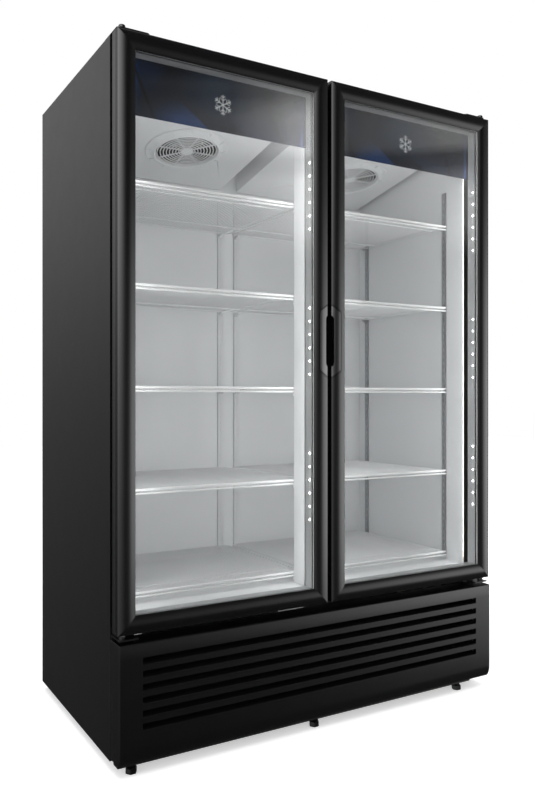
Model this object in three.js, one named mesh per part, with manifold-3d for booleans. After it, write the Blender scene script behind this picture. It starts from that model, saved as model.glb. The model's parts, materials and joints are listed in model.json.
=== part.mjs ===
// A two-door, glass-fronted, reach-in refrigerator for a restaurant kitchen.
// Millimetres, +Z up. The origin is on the floor, at the centre of the footprint; the doors face -Y.
import * as THREE from "three";
import { mergeVertices } from "three/addons/utils/BufferGeometryUtils.js";
import Module from "manifold-3d";

const wasm = await Module();
wasm.setup();

// ---- Driving dimensions ----
const CABINET_WIDTH = 1376;
const CABINET_DEPTH = 711;
const CABINET_HEIGHT = 2000;
const FOOT_HEIGHT = 25;
const GRILLE_REACH = 78; // how far the grille stands in front of the cabinet's front edge
const DOOR_REACH = 75; // the same for the doors
const DOOR_DEPTH = 48;
const DOOR_OVERHANG = 3; // each door passes the cabinet's side by this much
const DOOR_SPLIT = 14; // gap between the two doors
const DOOR_BOTTOM = 361; // heights are above the cabinet's bottom edge
const DOOR_TOP = 1993;
const FRAME_WIDTH = 51; // stiles and rails, seen from the front
const WALL = 50; // outer skin to inner liner
const FLOOR = 400;
const CEILING = 1940;
const LINER_DEPTH = 615; // the cabinet's front edge to the liner's back wall
const SHELF_TOPS = [436, 736, 1036, 1336, 1636];
const SHEET = 1.2; // painted steel sheet
const GAP = 0.3; // left between pieces that rest on each other

// ---- Planes that the dimensions give ----
const sideX = CABINET_WIDTH / 2;
const frontY = (GRILLE_REACH - CABINET_DEPTH) / 2;
const backY = frontY + CABINET_DEPTH;
const baseZ = FOOT_HEIGHT;
const topZ = baseZ + CABINET_HEIGHT;
const linerX = sideX - WALL;
const linerBackY = frontY + LINER_DEPTH;
const floorZ = baseZ + FLOOR;
const ceilingZ = baseZ + CEILING;
const doorFrontY = frontY - DOOR_REACH;
const doorOuterX = sideX + DOOR_OVERHANG;
const doorInnerX = DOOR_SPLIT / 2;
const doorBottomZ = baseZ + DOOR_BOTTOM;
const doorTopZ = baseZ + DOOR_TOP;
const flangeWidth = WALL - 3; // the wrapper's return round the front opening

// ---- Finishes ----
const finish = (color, roughness, metalness) =>
  new THREE.MeshStandardMaterial({ color, roughness, metalness });
const BLACK_STEEL = finish(0x17181a, 0.55, 0.4);
const BLACK_PLASTIC = finish(0x141415, 0.4, 0);
const WHITE_LINER = finish(0xe6e8ea, 0.45, 0);
const WHITE_WIRE = finish(0xf0f1f2, 0.35, 0.1);
const ZINC = finish(0xb4b7ba, 0.4, 0.9);
const ALUMINIUM = finish(0xc9ccce, 0.35, 0.9);
const RUBBER = finish(0x1b1b1c, 0.85, 0);
const GLASS = finish(0xbfd0cf, 0.05, 0);
const FOAM = finish(0xd9c58f, 0.9, 0);
const COMPRESSOR_PAINT = finish(0x0f1011, 0.35, 0.3);
const GREY_PLASTIC = finish(0x8d9194, 0.5, 0);

// ---- Geometry helpers ----

// A closed geometry as a manifold solid.
function toSolid(geometry) {
  const bare = geometry.clone();
  bare.deleteAttribute("normal");
  bare.deleteAttribute("uv");
  const merged = mergeVertices(bare, 1e-3);
  const mesh = new wasm.Mesh({
    numProp: 3,
    vertProperties: merged.attributes.position.array,
    triVerts: new Uint32Array(merged.index.array),
  });
  return new wasm.Manifold(mesh);
}

// A manifold solid as a geometry.
function toGeometry(solid) {
  const mesh = solid.getMesh();
  const geometry = new THREE.BufferGeometry();
  geometry.setAttribute("position", new THREE.BufferAttribute(mesh.vertProperties, 3));
  geometry.setIndex(new THREE.BufferAttribute(mesh.triVerts, 1));
  geometry.computeVertexNormals();
  return geometry;
}

const join = (...pieces) =>
  toGeometry(pieces.map(toSolid).reduce((whole, piece) => whole.add(piece)));

const cut = (base, ...tools) =>
  toGeometry(tools.map(toSolid).reduce((rest, tool) => rest.subtract(tool), toSolid(base)));

// A box between two limits on each axis.
function box([x0, x1], [y0, y1], [z0, z1]) {
  const geometry = new THREE.BoxGeometry(x1 - x0, y1 - y0, z1 - z0);
  return geometry.translate((x0 + x1) / 2, (y0 + y1) / 2, (z0 + z1) / 2);
}

// A round bar along Z, centred at (x, y).
function post(radius, x, y, [z0, z1], sides = 16) {
  const geometry = new THREE.CylinderGeometry(radius, radius, z1 - z0, sides);
  return geometry.rotateX(Math.PI / 2).translate(x, y, (z0 + z1) / 2);
}

// A flat outline, raised along +Z.
function extrudeZ(outline, [z0, z1]) {
  const shape = new THREE.Shape(outline.map(([x, y]) => new THREE.Vector2(x, y)));
  const geometry = new THREE.ExtrudeGeometry(shape, { depth: z1 - z0, bevelEnabled: false });
  return geometry.translate(0, 0, z0);
}

// An outline in (Y, Z), carried along X.
const extrudeX = (outline, span) =>
  extrudeZ(outline, span).applyMatrix4(
    new THREE.Matrix4().makeBasis(
      new THREE.Vector3(0, 1, 0),
      new THREE.Vector3(0, 0, 1),
      new THREE.Vector3(1, 0, 0),
    ),
  );

// An outline in (X, Z), carried along Y.
const extrudeY = (outline, [y0, y1]) =>
  extrudeZ(outline, [-y1, -y0]).applyMatrix4(
    new THREE.Matrix4().makeBasis(
      new THREE.Vector3(1, 0, 0),
      new THREE.Vector3(0, 0, 1),
      new THREE.Vector3(0, -1, 0),
    ),
  );

// A profile turned about Z: points are [radius, z].
const turned = (profile, sides = 20) =>
  new THREE.LatheGeometry(
    profile.map(([radius, z]) => new THREE.Vector2(radius, z)),
    sides,
  ).rotateX(Math.PI / 2);

// A mitred rectangular ring in the XZ plane. The profile's points are [inset, y]: the distance in from
// the ring's outer edge, and the depth. A four-sided lathe gives the mitred corners, and each corner is
// then moved out to the ring's own size.
function mitredRing(profile, [x0, x1], [z0, z1]) {
  const reach = 200; // half of the small square ring that is turned first
  const points = profile.map(([inset, y]) => new THREE.Vector2((reach - inset) * Math.SQRT2, y));
  points.push(points[0].clone());
  const geometry = new THREE.LatheGeometry(points, 4, Math.PI / 4);
  const position = geometry.attributes.position;
  for (let i = 0; i < position.count; i++) {
    const right = position.getX(i) > 0;
    const up = position.getZ(i) > 0;
    position.setX(i, position.getX(i) + (right ? x1 - reach : x0 + reach));
    position.setZ(i, position.getZ(i) + (up ? z1 - reach : z0 + reach));
  }
  return geometry;
}

// ---- The scene graph ----
const refrigerator = new THREE.Group();
refrigerator.name = "reach_in_refrigerator";

function addPart(name, geometry, material, parent = refrigerator) {
  const mesh = new THREE.Mesh(geometry, material.clone());
  mesh.name = name;
  parent.add(mesh);
  return mesh;
}

// Pieces that come in a left and a right hand are modelled on the left and mirrored.
const sides = { left: new THREE.Group(), right: new THREE.Group() };
sides.right.scale.x = -1;
refrigerator.add(sides.left, sides.right);

function addPair(name, geometry, material) {
  for (const [side, group] of Object.entries(sides)) {
    addPart(name.replace("SIDE", side), geometry, material, group);
  }
}

// ---- Cabinet ----
const fromFront = (depth) => frontY + depth;
const up = (height) => baseZ + height;
const MACHINE_HEIGHT = 340; // underside of the insulated floor
const DECK = 28; // top of the base frame
const LINER = 1.5;
const flangeX = sideX - flangeWidth;
const skinX = sideX - SHEET - GAP; // just inside the side panels
const foamFrontY = frontY + SHEET + GAP;
const foamBackY = backY - SHEET - GAP;
const grow = (size) => [-size, size];

function insulationBody() {
  const block = box(grow(skinX), [foamFrontY, foamBackY], [up(MACHINE_HEIGHT), topZ - SHEET - GAP]);
  const skin = LINER + GAP;
  const cavity = box(
    grow(linerX + skin),
    [frontY - SHEET, linerBackY + skin],
    [floorZ - skin, ceilingZ + skin],
  );
  return cut(block, cavity);
}

function innerLiner() {
  const outer = box(
    grow(linerX + LINER),
    [foamFrontY, linerBackY + LINER],
    [floorZ - LINER, ceilingZ + LINER],
  );
  const inside = box(grow(linerX), [frontY, linerBackY], [floorZ, ceilingZ]);
  return cut(outer, inside);
}

// A side sheet with its return flange beside the front opening. The flange stops above the base frame.
function sidePanel() {
  const outline = [
    [-sideX, frontY],
    [-flangeX, frontY],
    [-flangeX, frontY + SHEET],
    [-sideX + SHEET, frontY + SHEET],
    [-sideX + SHEET, backY],
    [-sideX, backY],
  ];
  const notch = box(
    [-sideX + SHEET, -flangeX + 1],
    [frontY - 1, frontY + SHEET + 1],
    [baseZ - 1, up(DECK + 2)],
  );
  return cut(extrudeZ(outline, [baseZ, topZ]), notch);
}

function topPanel() {
  const plate = box(grow(skinX), [foamFrontY, foamBackY], [topZ - SHEET, topZ]);
  const lip = extrudeX(
    [
      [frontY, ceilingZ + LINER + GAP],
      [frontY + SHEET, ceilingZ + LINER + GAP],
      [frontY + SHEET, topZ - SHEET],
      [foamFrontY + WALL, topZ - SHEET],
      [foamFrontY + WALL, topZ],
      [frontY, topZ],
    ],
    grow(flangeX - GAP),
  );
  return join(plate, lip);
}

// The back sheet, with rows of air slots over the machine compartment.
function rearPanel() {
  const slotRows = 7;
  const slotPitch = 30;
  const slotHeight = 10;
  const slotCentres = [-400, 0, 400];
  const slotHalf = 140;
  const slots = [];
  for (let row = 0; row < slotRows; row++) {
    const z = up(80) + row * slotPitch;
    for (const x of slotCentres) {
      slots.push(box([x - slotHalf, x + slotHalf], [backY - 2 * SHEET, backY + 1], [z, z + slotHeight]));
    }
  }
  return cut(box(grow(skinX), [backY - SHEET, backY], [up(2), topZ]), ...slots);
}

function doorSill() {
  const bottom = up(MACHINE_HEIGHT) - GAP;
  const outline = [
    [frontY, bottom - SHEET],
    [fromFront(60), bottom - SHEET],
    [fromFront(60), bottom],
    [frontY + SHEET, bottom],
    [frontY + SHEET, floorZ - LINER - GAP],
    [frontY, floorZ - LINER - GAP],
  ];
  return extrudeX(outline, grow(flangeX - GAP));
}

// ---- Shelf sizes, which the supports also use ----
const SHELF_FRONT = 78;
const SHELF_BACK = 600;
const SHELF_LIP = 18; // height of the front edge's double wire
const SHELF_THICK = 8;
const shelfOuterX = linerX - 6;
const shelfInnerX = 6;
const CLIP_HEIGHT = 12;
const PILASTER = 5; // thickness of a support strip
const PILASTER_WIDTH = 20;
const PILASTER_Z = [floorZ + 20, up(1760)];
const CLIP_INSET = 2; // a clip is narrower than its strip by this much on each side

// The span of heights of a clip whose top carries a surface this far below the shelf's top.
const clipSpan = (shelfTop, drop) => {
  const top = up(shelfTop) - drop - GAP;
  return [top - CLIP_HEIGHT, top];
};

function centerMullion() {
  const halfFlange = 48;
  const halfBox = 40;
  const depth = 75;
  const clipReach = 100;
  const clipX = 22;
  const outline = [
    [-halfFlange, frontY],
    [halfFlange, frontY],
    [halfFlange, fromFront(3)],
    [halfBox, fromFront(3)],
    [halfBox, fromFront(depth)],
    [-halfBox, fromFront(depth)],
    [-halfBox, fromFront(3)],
    [-halfFlange, fromFront(3)],
  ];
  const bar = extrudeZ(outline, [floorZ + GAP, ceilingZ - GAP]);
  const clips = [];
  for (const shelfTop of SHELF_TOPS) {
    const height = clipSpan(shelfTop, SHELF_LIP);
    for (const x of [-clipX, clipX]) {
      clips.push(box([x - 8, x + 8], [fromFront(depth - 1), fromFront(clipReach)], height));
    }
  }
  return join(bar, ...clips);
}

// A support strip on the side wall, with a clip under each shelf.
function wallPilaster(depth) {
  const wall = -linerX + GAP;
  const half = PILASTER_WIDTH / 2;
  const y = fromFront(depth);
  const clipReach = 24;
  const clipY = [y - half + CLIP_INSET, y + half - CLIP_INSET];
  const strip = box([wall, wall + PILASTER], [y - half, y + half], PILASTER_Z);
  const clips = SHELF_TOPS.map((shelfTop) =>
    box([wall + 1, wall + clipReach], clipY, clipSpan(shelfTop, SHELF_THICK)),
  );
  return join(strip, ...clips);
}

// A support strip on the back wall beside the centre line, with a clip under each shelf.
function backPilaster() {
  const wall = linerBackY - GAP;
  const centre = -35;
  const half = PILASTER_WIDTH / 2;
  const clipReach = 32;
  const clipX = [centre - half + CLIP_INSET, centre + half - CLIP_INSET];
  const strip = box([centre - half, centre + half], [wall - PILASTER, wall], PILASTER_Z);
  const clips = SHELF_TOPS.map((shelfTop) =>
    box(clipX, [wall - clipReach, wall - 1], clipSpan(shelfTop, SHELF_THICK)),
  );
  return join(strip, ...clips);
}

// An open grid of front-to-back bars with a deeper front edge.
function shelf() {
  const columns = 8;
  const rows = 2;
  const rim = 9;
  const bar = 6;
  const [x0, x1] = [-shelfOuterX, -shelfInnerX];
  const [y0, y1] = [fromFront(SHELF_FRONT), fromFront(SHELF_BACK)];
  const columnPitch = (x1 - x0 - 2 * rim + bar) / columns;
  const rowPitch = (y1 - y0 - 2 * rim + bar) / rows;
  const openings = [];
  for (let column = 0; column < columns; column++) {
    for (let row = 0; row < rows; row++) {
      const x = x0 + rim + column * columnPitch;
      const y = y0 + rim + row * rowPitch;
      const through = [-SHELF_THICK - 1, 1];
      openings.push(box([x, x + columnPitch - bar], [y, y + rowPitch - bar], through));
    }
  }
  const grid = cut(box([x0, x1], [y0, y1], [-SHELF_THICK, 0]), ...openings);
  return join(grid, box([x0, x1], [y0, y0 + bar], [-SHELF_LIP, 0]));
}

// ---- Machine compartment ----
const FOOT_STUD = 6;
const FOOT_X = 603;
const FRONT_FOOT = -39; // the front feet stand in front of the cabinet, under the grille
const REAR_FOOT = 660;
const feet = [
  ["foot_front_left", -FOOT_X - 38, FRONT_FOOT],
  ["foot_front_center", -38, FRONT_FOOT],
  ["foot_front_right", FOOT_X - 38, FRONT_FOOT],
  ["foot_rear_left", -FOOT_X - 38, REAR_FOOT],
  ["foot_rear_right", FOOT_X + 38, REAR_FOOT],
];

// A welded frame of rails under a deck plate. The front rail stops short on the right.
function baseFrame() {
  const railWidth = 40;
  const frontRailWidth = 34;
  const railEnd = sideX - 73;
  const deck = [up(DECK - 3), up(DECK)];
  const deckX = skinX - 8;
  const [front, back] = [fromFront(-54), backY - SHEET - GAP - 2];
  const height = [baseZ, up(DECK - 2)];
  const sideRail = (x0) => box([x0, x0 + railWidth], [fromFront(2), back], height);
  const rails = [
    box([-sideX + 3, railEnd], [front, front + frontRailWidth], height),
    box(grow(deckX), [back - railWidth, back], height),
    sideRail(-skinX + 1),
    sideRail(-railWidth / 2),
    sideRail(skinX - railWidth - 1),
    box([-deckX, railEnd], [front, back], deck),
    box([railEnd - railWidth, deckX], [fromFront(-20), back], deck),
  ];
  const studHoles = feet.map(([, x, depth]) =>
    post(FOOT_STUD + 1, x, fromFront(depth), [baseZ - 1, up(20)], 12),
  );
  return cut(join(...rails), ...studHoles);
}

// A hexagonal pad on a threaded stud, which screws up into the base frame.
function foot() {
  const pad = post(17, 0, 0, [0, 17], 6);
  const stud = post(FOOT_STUD, 0, 0, [16, FOOT_HEIGHT + 18], 10);
  return join(pad, stud);
}

// The folded front grille: a sheet that turns back at the top and curves under at the bottom, two side
// cheeks, and six long slots, each with a lip that slopes up and inwards.
function frontGrille() {
  const sheet = 2;
  const top = 337;
  const bottom = 8;
  const curveStart = 50;
  const curveDepth = 20;
  const topReturn = -28;
  const curveSteps = 5;
  const front = fromFront(-GRILLE_REACH);
  const curve = (inset) =>
    Array.from({ length: curveSteps + 1 }, (_, i) => {
      const turn = (i / curveSteps) * (Math.PI / 2);
      return [
        front + curveDepth - (curveDepth - inset) * Math.cos(turn),
        up(curveStart) - (curveStart - bottom - inset) * Math.sin(turn),
      ];
    });
  const skin = extrudeX(
    [
      [fromFront(topReturn), up(top)],
      [front, up(top)],
      ...curve(0),
      ...curve(sheet).reverse(),
      [front + sheet, up(top - sheet)],
      [fromFront(topReturn), up(top - sheet)],
    ],
    grow(sideX),
  );
  const cheekOutline = [
    [fromFront(topReturn), up(top)],
    [front, up(top)],
    ...curve(0),
    [fromFront(-1), up(bottom)],
    [fromFront(-1), up(277)],
    [fromFront(topReturn), up(300)],
  ];
  const cheeks = [
    extrudeX(cheekOutline, [-sideX, -sideX + sheet]),
    extrudeX(cheekOutline, [sideX - sheet, sideX]),
  ];
  const slotCount = 6;
  const slotPitch = 35.8;
  const slotHeight = 18;
  const slotHalf = 622;
  const slots = [];
  const lips = [];
  for (let i = 0; i < slotCount; i++) {
    const z = up(99.5) + i * slotPitch;
    slots.push(box(grow(slotHalf), [front - 1, front + sheet + 1], [z, z + slotHeight]));
    const lip = [
      [front + 0.5, z - 2],
      [front + 20, z + 11],
      [front + 20, z + 13],
      [front + 0.5, z],
    ];
    lips.push(extrudeX(lip, grow(slotHalf)));
  }
  return join(cut(join(skin, ...cheeks), ...slots), ...lips);
}

// A block of fins on a core of tubes: plates across X, standing proud of the core in front and behind.
function finBlock([x0, x1], [y0, y1], span, count) {
  const fin = 2;
  const core = (y1 - y0) * 0.3;
  const pitch = (x1 - x0 - fin) / (count - 1);
  const edge = (outerY, coreY) => {
    const points = [];
    for (let i = 0; i < count; i++) {
      const x = x0 + i * pitch;
      points.push([x, outerY], [x + fin, outerY]);
      if (i < count - 1) points.push([x + fin, coreY], [x + pitch, coreY]);
    }
    return points;
  };
  const outline = [...edge(y0, y0 + core), ...edge(y1, y1 - core).reverse()];
  return extrudeZ(outline, span);
}

const condenserX = [-570, -130];
const condenserCentreX = (condenserX[0] + condenserX[1]) / 2;
const CONDENSER_FAN_HEIGHT = 178;
const CONDENSER_FAN_RADIUS = 120;
const shroudDepth = 62;

// A cylinder along Y at the condenser fan's centre, between two depths.
const fanPost = (radius, d0, d1, sides = 20) =>
  new THREE.CylinderGeometry(radius, radius, d1 - d0, sides).translate(
    condenserCentreX,
    fromFront((d0 + d1) / 2),
    up(CONDENSER_FAN_HEIGHT),
  );

// The plate behind the condenser with its air hole, and the motor on a bracket behind the fan.
function condenserFanShroud() {
  const plateY = [fromFront(shroudDepth), fromFront(shroudDepth + 2)];
  const plate = box(condenserX, plateY, [up(DECK + 2), up(330)]);
  const arm = [condenserCentreX - 12, condenserCentreX + 12];
  const reach = CONDENSER_FAN_RADIUS + 18;
  const [low, high] = [up(CONDENSER_FAN_HEIGHT) - reach, up(CONDENSER_FAN_HEIGHT) + reach];
  const barY = [fromFront(shroudDepth + 50), fromFront(shroudDepth + 54)];
  const legY = [fromFront(shroudDepth + 1), barY[1]];
  return join(
    cut(plate, fanPost(CONDENSER_FAN_RADIUS + 5, shroudDepth - 2, shroudDepth + 4, 32)),
    box(arm, legY, [low, low + 4]),
    box(arm, legY, [high - 4, high]),
    box(arm, barY, [low, high]),
    fanPost(40, shroudDepth + 42, shroudDepth + 94),
    fanPost(4, shroudDepth + 4, shroudDepth + 44, 10),
  );
}

// A fan turned about +Z: a hub with a bore, and blades set at an angle.
function fanBlades(radius, hubRadius, depth, boreRadius) {
  const bladeCount = 5;
  const bladeWidth = radius * 0.62;
  const pitch = THREE.MathUtils.degToRad(28);
  const blades = [];
  for (let i = 0; i < bladeCount; i++) {
    const length = radius - hubRadius + 3;
    const blade = new THREE.BoxGeometry(length, bladeWidth, 2);
    blade.rotateX(pitch).translate(hubRadius - 3 + length / 2, 0, 0);
    blades.push(blade.rotateZ((i / bladeCount) * Math.PI * 2));
  }
  const hub = post(hubRadius, 0, 0, [-depth / 2, depth / 2], 20);
  return cut(join(hub, ...blades), post(boreRadius, 0, 0, [-depth, depth], 10));
}

// A welded can on a mounting plate, with its suction and discharge stubs.
function compressor() {
  const can = turned([
    [0, 0],
    [66, 0],
    [84, 22],
    [88, 70],
    [86, 120],
    [68, 158],
    [30, 174],
    [0, 176],
  ]);
  const plate = box([-110, 110], [-80, 80], [-12, 2]);
  const stub = (x, y) => post(5, x, y, [120, 215], 8);
  return join(can, plate, stub(60, 0), stub(-40, 40));
}

function condensatePan() {
  const wall = 2;
  const [x, y, z] = [[-20, 210], [70, 330], [up(DECK + 0.5), up(DECK + 52)]];
  const inside = box(
    [x[0] + wall, x[1] - wall],
    [y[0] + wall, y[1] - wall],
    [z[0] + wall, z[1] + wall],
  );
  return cut(box(x, y, z), inside);
}

const controlX = [440, 640];
const controlFront = 40;
const KNOB = { x: 500, height: 220, radius: 19, length: 20 };

function controlBox() {
  const housing = box(controlX, [fromFront(controlFront), fromFront(controlFront + 90)], [up(150), up(300)]);
  const leg = (x) => box([x, x + 20], [fromFront(60), fromFront(110)], [up(DECK + 0.5), up(151)]);
  const socket = new THREE.CylinderGeometry(4.6, 4.6, 30, 10);
  socket.translate(KNOB.x, fromFront(controlFront), up(KNOB.height));
  return cut(join(housing, leg(controlX[0] + 10), leg(controlX[1] - 30)), socket);
}

// The thermostat dial: a ribbed cap with a pointer, on a spindle that enters the control box.
function temperatureKnob() {
  const ribs = 12;
  const outline = [];
  for (let i = 0; i < ribs * 2; i++) {
    const angle = (i / (ribs * 2)) * Math.PI * 2;
    const radius = i % 2 ? KNOB.radius : KNOB.radius - 1.5;
    outline.push([radius * Math.cos(angle), radius * Math.sin(angle)]);
  }
  const cap = extrudeY(outline, [-KNOB.length, -GAP]);
  const pointer = box([-2, 2], [-KNOB.length - 2, -2], [0, KNOB.radius]);
  const spindle = new THREE.CylinderGeometry(4, 4, 16, 10).translate(0, 5, 0);
  return join(cap, pointer, spindle);
}

// ---- Evaporator ----
const COVER_SLOPE = 0.192; // the cover falls by this much per millimetre of depth
const COVER_FRONT = 80;
const COVER_BACK = 612;
const FAN_DEPTH = 367;
const FAN_HOLE = 112;
const FAN_X = [-288, 402];
const COVER_INNER = 36; // the covers' ends, beside the centre line and beside the side walls
const COVER_OUTER = 618;
const HANGER_WIDTH = 40;
const COIL_Y = [fromFront(495), fromFront(600)];
const COIL_PIPE_Z = up(1918);
const COIL_PIPE_ROOM = 14;
const coverZ = (depth) => up(1848) - COVER_SLOPE * (depth - FAN_DEPTH);
const coverTilt = -Math.atan(COVER_SLOPE);

// Two folded covers, one in each half of the cabinet, hung from one strip under the ceiling. A cover is a
// front face and a sloping underside between two cheeks, which leave room for the coil's pipe at the back.
function evaporatorCover() {
  const top = ceilingZ - 2;
  const front = fromFront(COVER_FRONT);
  const back = fromFront(COVER_BACK);
  const folded = [
    [front, top],
    [front, coverZ(COVER_FRONT)],
    [back, coverZ(COVER_BACK)],
    [back, coverZ(COVER_BACK) + LINER],
    [front + LINER, coverZ(COVER_FRONT) + LINER],
    [front + LINER, top],
  ];
  const overlap = 0.5; // how far a cheek stays inside the folded sheet that it is welded to
  const cheek = [
    [front + overlap, top - overlap],
    [front + overlap, coverZ(COVER_FRONT) + overlap],
    [back - overlap, coverZ(COVER_BACK) + overlap],
    [back - overlap, COIL_PIPE_Z - COIL_PIPE_ROOM],
    [COIL_Y[0], COIL_PIPE_Z - COIL_PIPE_ROOM],
    [COIL_Y[0], top - overlap],
  ];
  const modules = [-1, 1].flatMap((side) => {
    const [x0, x1] = [side * COVER_INNER, side * COVER_OUTER].sort((a, b) => a - b);
    return [
      extrudeX(folded, [x0, x1]),
      extrudeX(cheek, [x0, x0 + LINER]),
      extrudeX(cheek, [x1 - LINER, x1]),
    ];
  });
  const hanger = box(grow(COVER_OUTER), [front, front + HANGER_WIDTH], [top - LINER, top]);
  const holes = FAN_X.map((x) => {
    const drill = post(FAN_HOLE, 0, 0, [-20, 20], 32).rotateX(coverTilt);
    return drill.translate(x, fromFront(FAN_DEPTH), coverZ(FAN_DEPTH));
  });
  return cut(join(...modules, hanger), ...holes);
}

// A block of fins in each cover, joined by a pipe.
function evaporatorCoil() {
  const fins = [COVER_INNER + 44, COVER_OUTER - 60];
  const height = [up(1838), up(1932)];
  const pipe = new THREE.CylinderGeometry(5, 5, 2 * fins[0] + 8, 10).rotateZ(Math.PI / 2);
  return join(
    finBlock([-fins[1], -fins[0]], COIL_Y, height, 11),
    finBlock(fins, COIL_Y, height, 11),
    pipe.translate(0, (COIL_Y[0] + COIL_Y[1]) / 2, COIL_PIPE_Z),
  );
}

// The round guard under the cover: a flange with a raised rim, a collar up through the cover, rings on
// four arms, and the motor at its centre.
function fanGuard() {
  const ring = (inner, outer, z0, z1) =>
    turned(
      [
        [inner, z0],
        [outer, z0],
        [outer, z1],
        [inner, z1],
        [inner, z0],
      ],
      28,
    );
  const arms = [0, 1].map((turn) =>
    new THREE.BoxGeometry(2 * FAN_HOLE - 8, 5, 3).translate(0, 0, -6).rotateZ(turn * (Math.PI / 2)),
  );
  return join(
    ring(FAN_HOLE - 6, FAN_HOLE + 30, -7, -GAP),
    ring(FAN_HOLE - 6, FAN_HOLE + 8, -13, -6),
    ring(FAN_HOLE - 6, FAN_HOLE - 2, -2, 14),
    ring(82, 86, -8, -4),
    ring(58, 62, -8, -4),
    ...arms,
    post(34, 0, 0, [-9, 30], 20),
    post(4, 0, 0, [29, 60], 10),
  );
}

// ---- Hinges ----
const PIN = { inset: 20, depth: -48, radius: 5, bore: 5.8 }; // inset from the door's outer edge
const pinX = -doorOuterX + PIN.inset;
const pinY = fromFront(PIN.depth);
const PIN_REACH = 17; // how far a pin enters the door

function topHinge() {
  const length = 96;
  const plateFront = fromFront(-58);
  const plateBack = fromFront(45);
  const outerX = -doorOuterX + 4;
  const innerX = outerX + length;
  const plate = extrudeZ(
    [
      [outerX, plateFront + 8],
      [outerX + 8, plateFront],
      [innerX - 8, plateFront],
      [innerX, plateFront + 8],
      [innerX, plateBack],
      [outerX, plateBack],
    ],
    [topZ + GAP, topZ + 2.5],
  );
  const screw = (x) => post(6, x, fromFront(28), [topZ + 2, topZ + 8], 10);
  return join(
    plate,
    post(PIN.radius, pinX, pinY, [doorTopZ - PIN_REACH, topZ + 2]),
    post(9, pinX, pinY, [topZ + 2, topZ + 5]),
    screw(outerX + length / 4),
    screw(innerX - length / 4),
  );
}

function bottomHinge() {
  const plateZ = [up(345), up(349)];
  const x = [-sideX + 3, -sideX + 58];
  return join(
    box(x, [fromFront(-68), fromFront(-GAP)], plateZ),
    box(x, [fromFront(-4.4), fromFront(-GAP)], [up(302), up(349)]),
    post(9, pinX, pinY, [up(348), doorBottomZ - GAP]),
    post(PIN.radius, pinX, pinY, [up(348), doorBottomZ + PIN_REACH]),
  );
}

// ---- Doors ----
const doorX = [-doorOuterX, -doorInnerX];
const doorZ = [doorBottomZ, doorTopZ];
const BACK_INSET = 48; // the frame's inner face behind the glass
const GLASS_INSET = 40;
const GLASS_FRONT = 7;
const GLASS_THICK = 14;
const FACE_ARCH = 5.5; // the middle of a stile's face stands in front of its edges by this much
const GASKET_WIDTH = 15;
const STRIP_BACK = 56; // the light strips stand a little proud of the frame's back

// The outside of the frame's section: a shallow arch between the glass and the outer edge.
function frameFace() {
  const half = FRAME_WIDTH / 2;
  const radius = (half * half + FACE_ARCH * FACE_ARCH) / (2 * FACE_ARCH);
  const tilt = Math.asin(half / radius);
  const steps = 8;
  const points = [[FRAME_WIDTH, GLASS_FRONT]];
  for (let i = 0; i <= steps; i++) {
    const turn = tilt * (1 - (2 * i) / steps);
    points.push([half + radius * Math.sin(turn), radius * (1 - Math.cos(turn))]);
  }
  return points;
}

const atDoor = (profile) => profile.map(([inset, depth]) => [inset, doorFrontY + depth]);

// The finger grip's outline on the meeting stile, longer at the door's edge than at the glass side.
const GRIP = { inner: 32, low: 1064, high: 1291, slant: 22 };
const gripOutline = (room) => [
  [-doorInnerX + 1, up(GRIP.low) - room],
  [-doorInnerX + 1, up(GRIP.high) + room],
  [-doorInnerX - GRIP.inner - room, up(GRIP.high - GRIP.slant) + room],
  [-doorInnerX - GRIP.inner - room, up(GRIP.low + GRIP.slant) - room],
];

const GRIP_DEPTH = 34;
const gripBlock = (room) => extrudeY(gripOutline(room), [doorFrontY - 1, doorFrontY + GRIP_DEPTH + room]);

function doorFrame() {
  const grooveBack = GLASS_FRONT + GLASS_THICK + 0.5;
  const section = [
    [0, DOOR_DEPTH],
    [BACK_INSET, DOOR_DEPTH],
    [BACK_INSET, grooveBack],
    [GLASS_INSET, grooveBack],
    [GLASS_INSET, GLASS_FRONT],
    ...frameFace(),
  ];
  const ring = mitredRing(atDoor(section), doorX, doorZ);
  const bore = (z0, z1) => post(PIN.bore, pinX, pinY, [z0, z1]);
  return cut(
    ring,
    gripBlock(GAP),
    bore(doorBottomZ - 1, doorBottomZ + PIN_REACH + 2),
    bore(doorTopZ - PIN_REACH - 2, doorTopZ + 1),
  );
}

// The grip insert carries the stile's outer shape and has one half of a capsule-shaped finger recess.
function doorHandle() {
  const inner = BACK_INSET - 8;
  const section = [[0, GRIP_DEPTH], [inner, GRIP_DEPTH], [inner, GLASS_FRONT], ...frameFace()];
  const stile = mitredRing(atDoor(section), doorX, doorZ);
  const radius = 22;
  const recess = { low: up(1095) + radius, high: up(1261) - radius };
  const steps = 8;
  const outline = [];
  for (const [z, start] of [[recess.low, Math.PI], [recess.high, 0]]) {
    for (let i = 0; i <= steps; i++) {
      const angle = start + (i / steps) * Math.PI;
      outline.push([radius * Math.cos(angle), z + radius * Math.sin(angle)]);
    }
  }
  const scoop = extrudeY(outline, [doorFrontY - 2, doorFrontY + GRIP_DEPTH - 6]);
  const body = toSolid(stile).intersect(toSolid(gripBlock(0)));
  return cut(toGeometry(body), scoop);
}

function doorGlass() {
  const inset = GLASS_INSET + 0.5;
  const front = doorFrontY + GLASS_FRONT + GAP;
  return box(
    [doorX[0] + inset, doorX[1] - inset],
    [front, front + GLASS_THICK - GAP],
    [doorZ[0] + inset, doorZ[1] - inset],
  );
}

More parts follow.
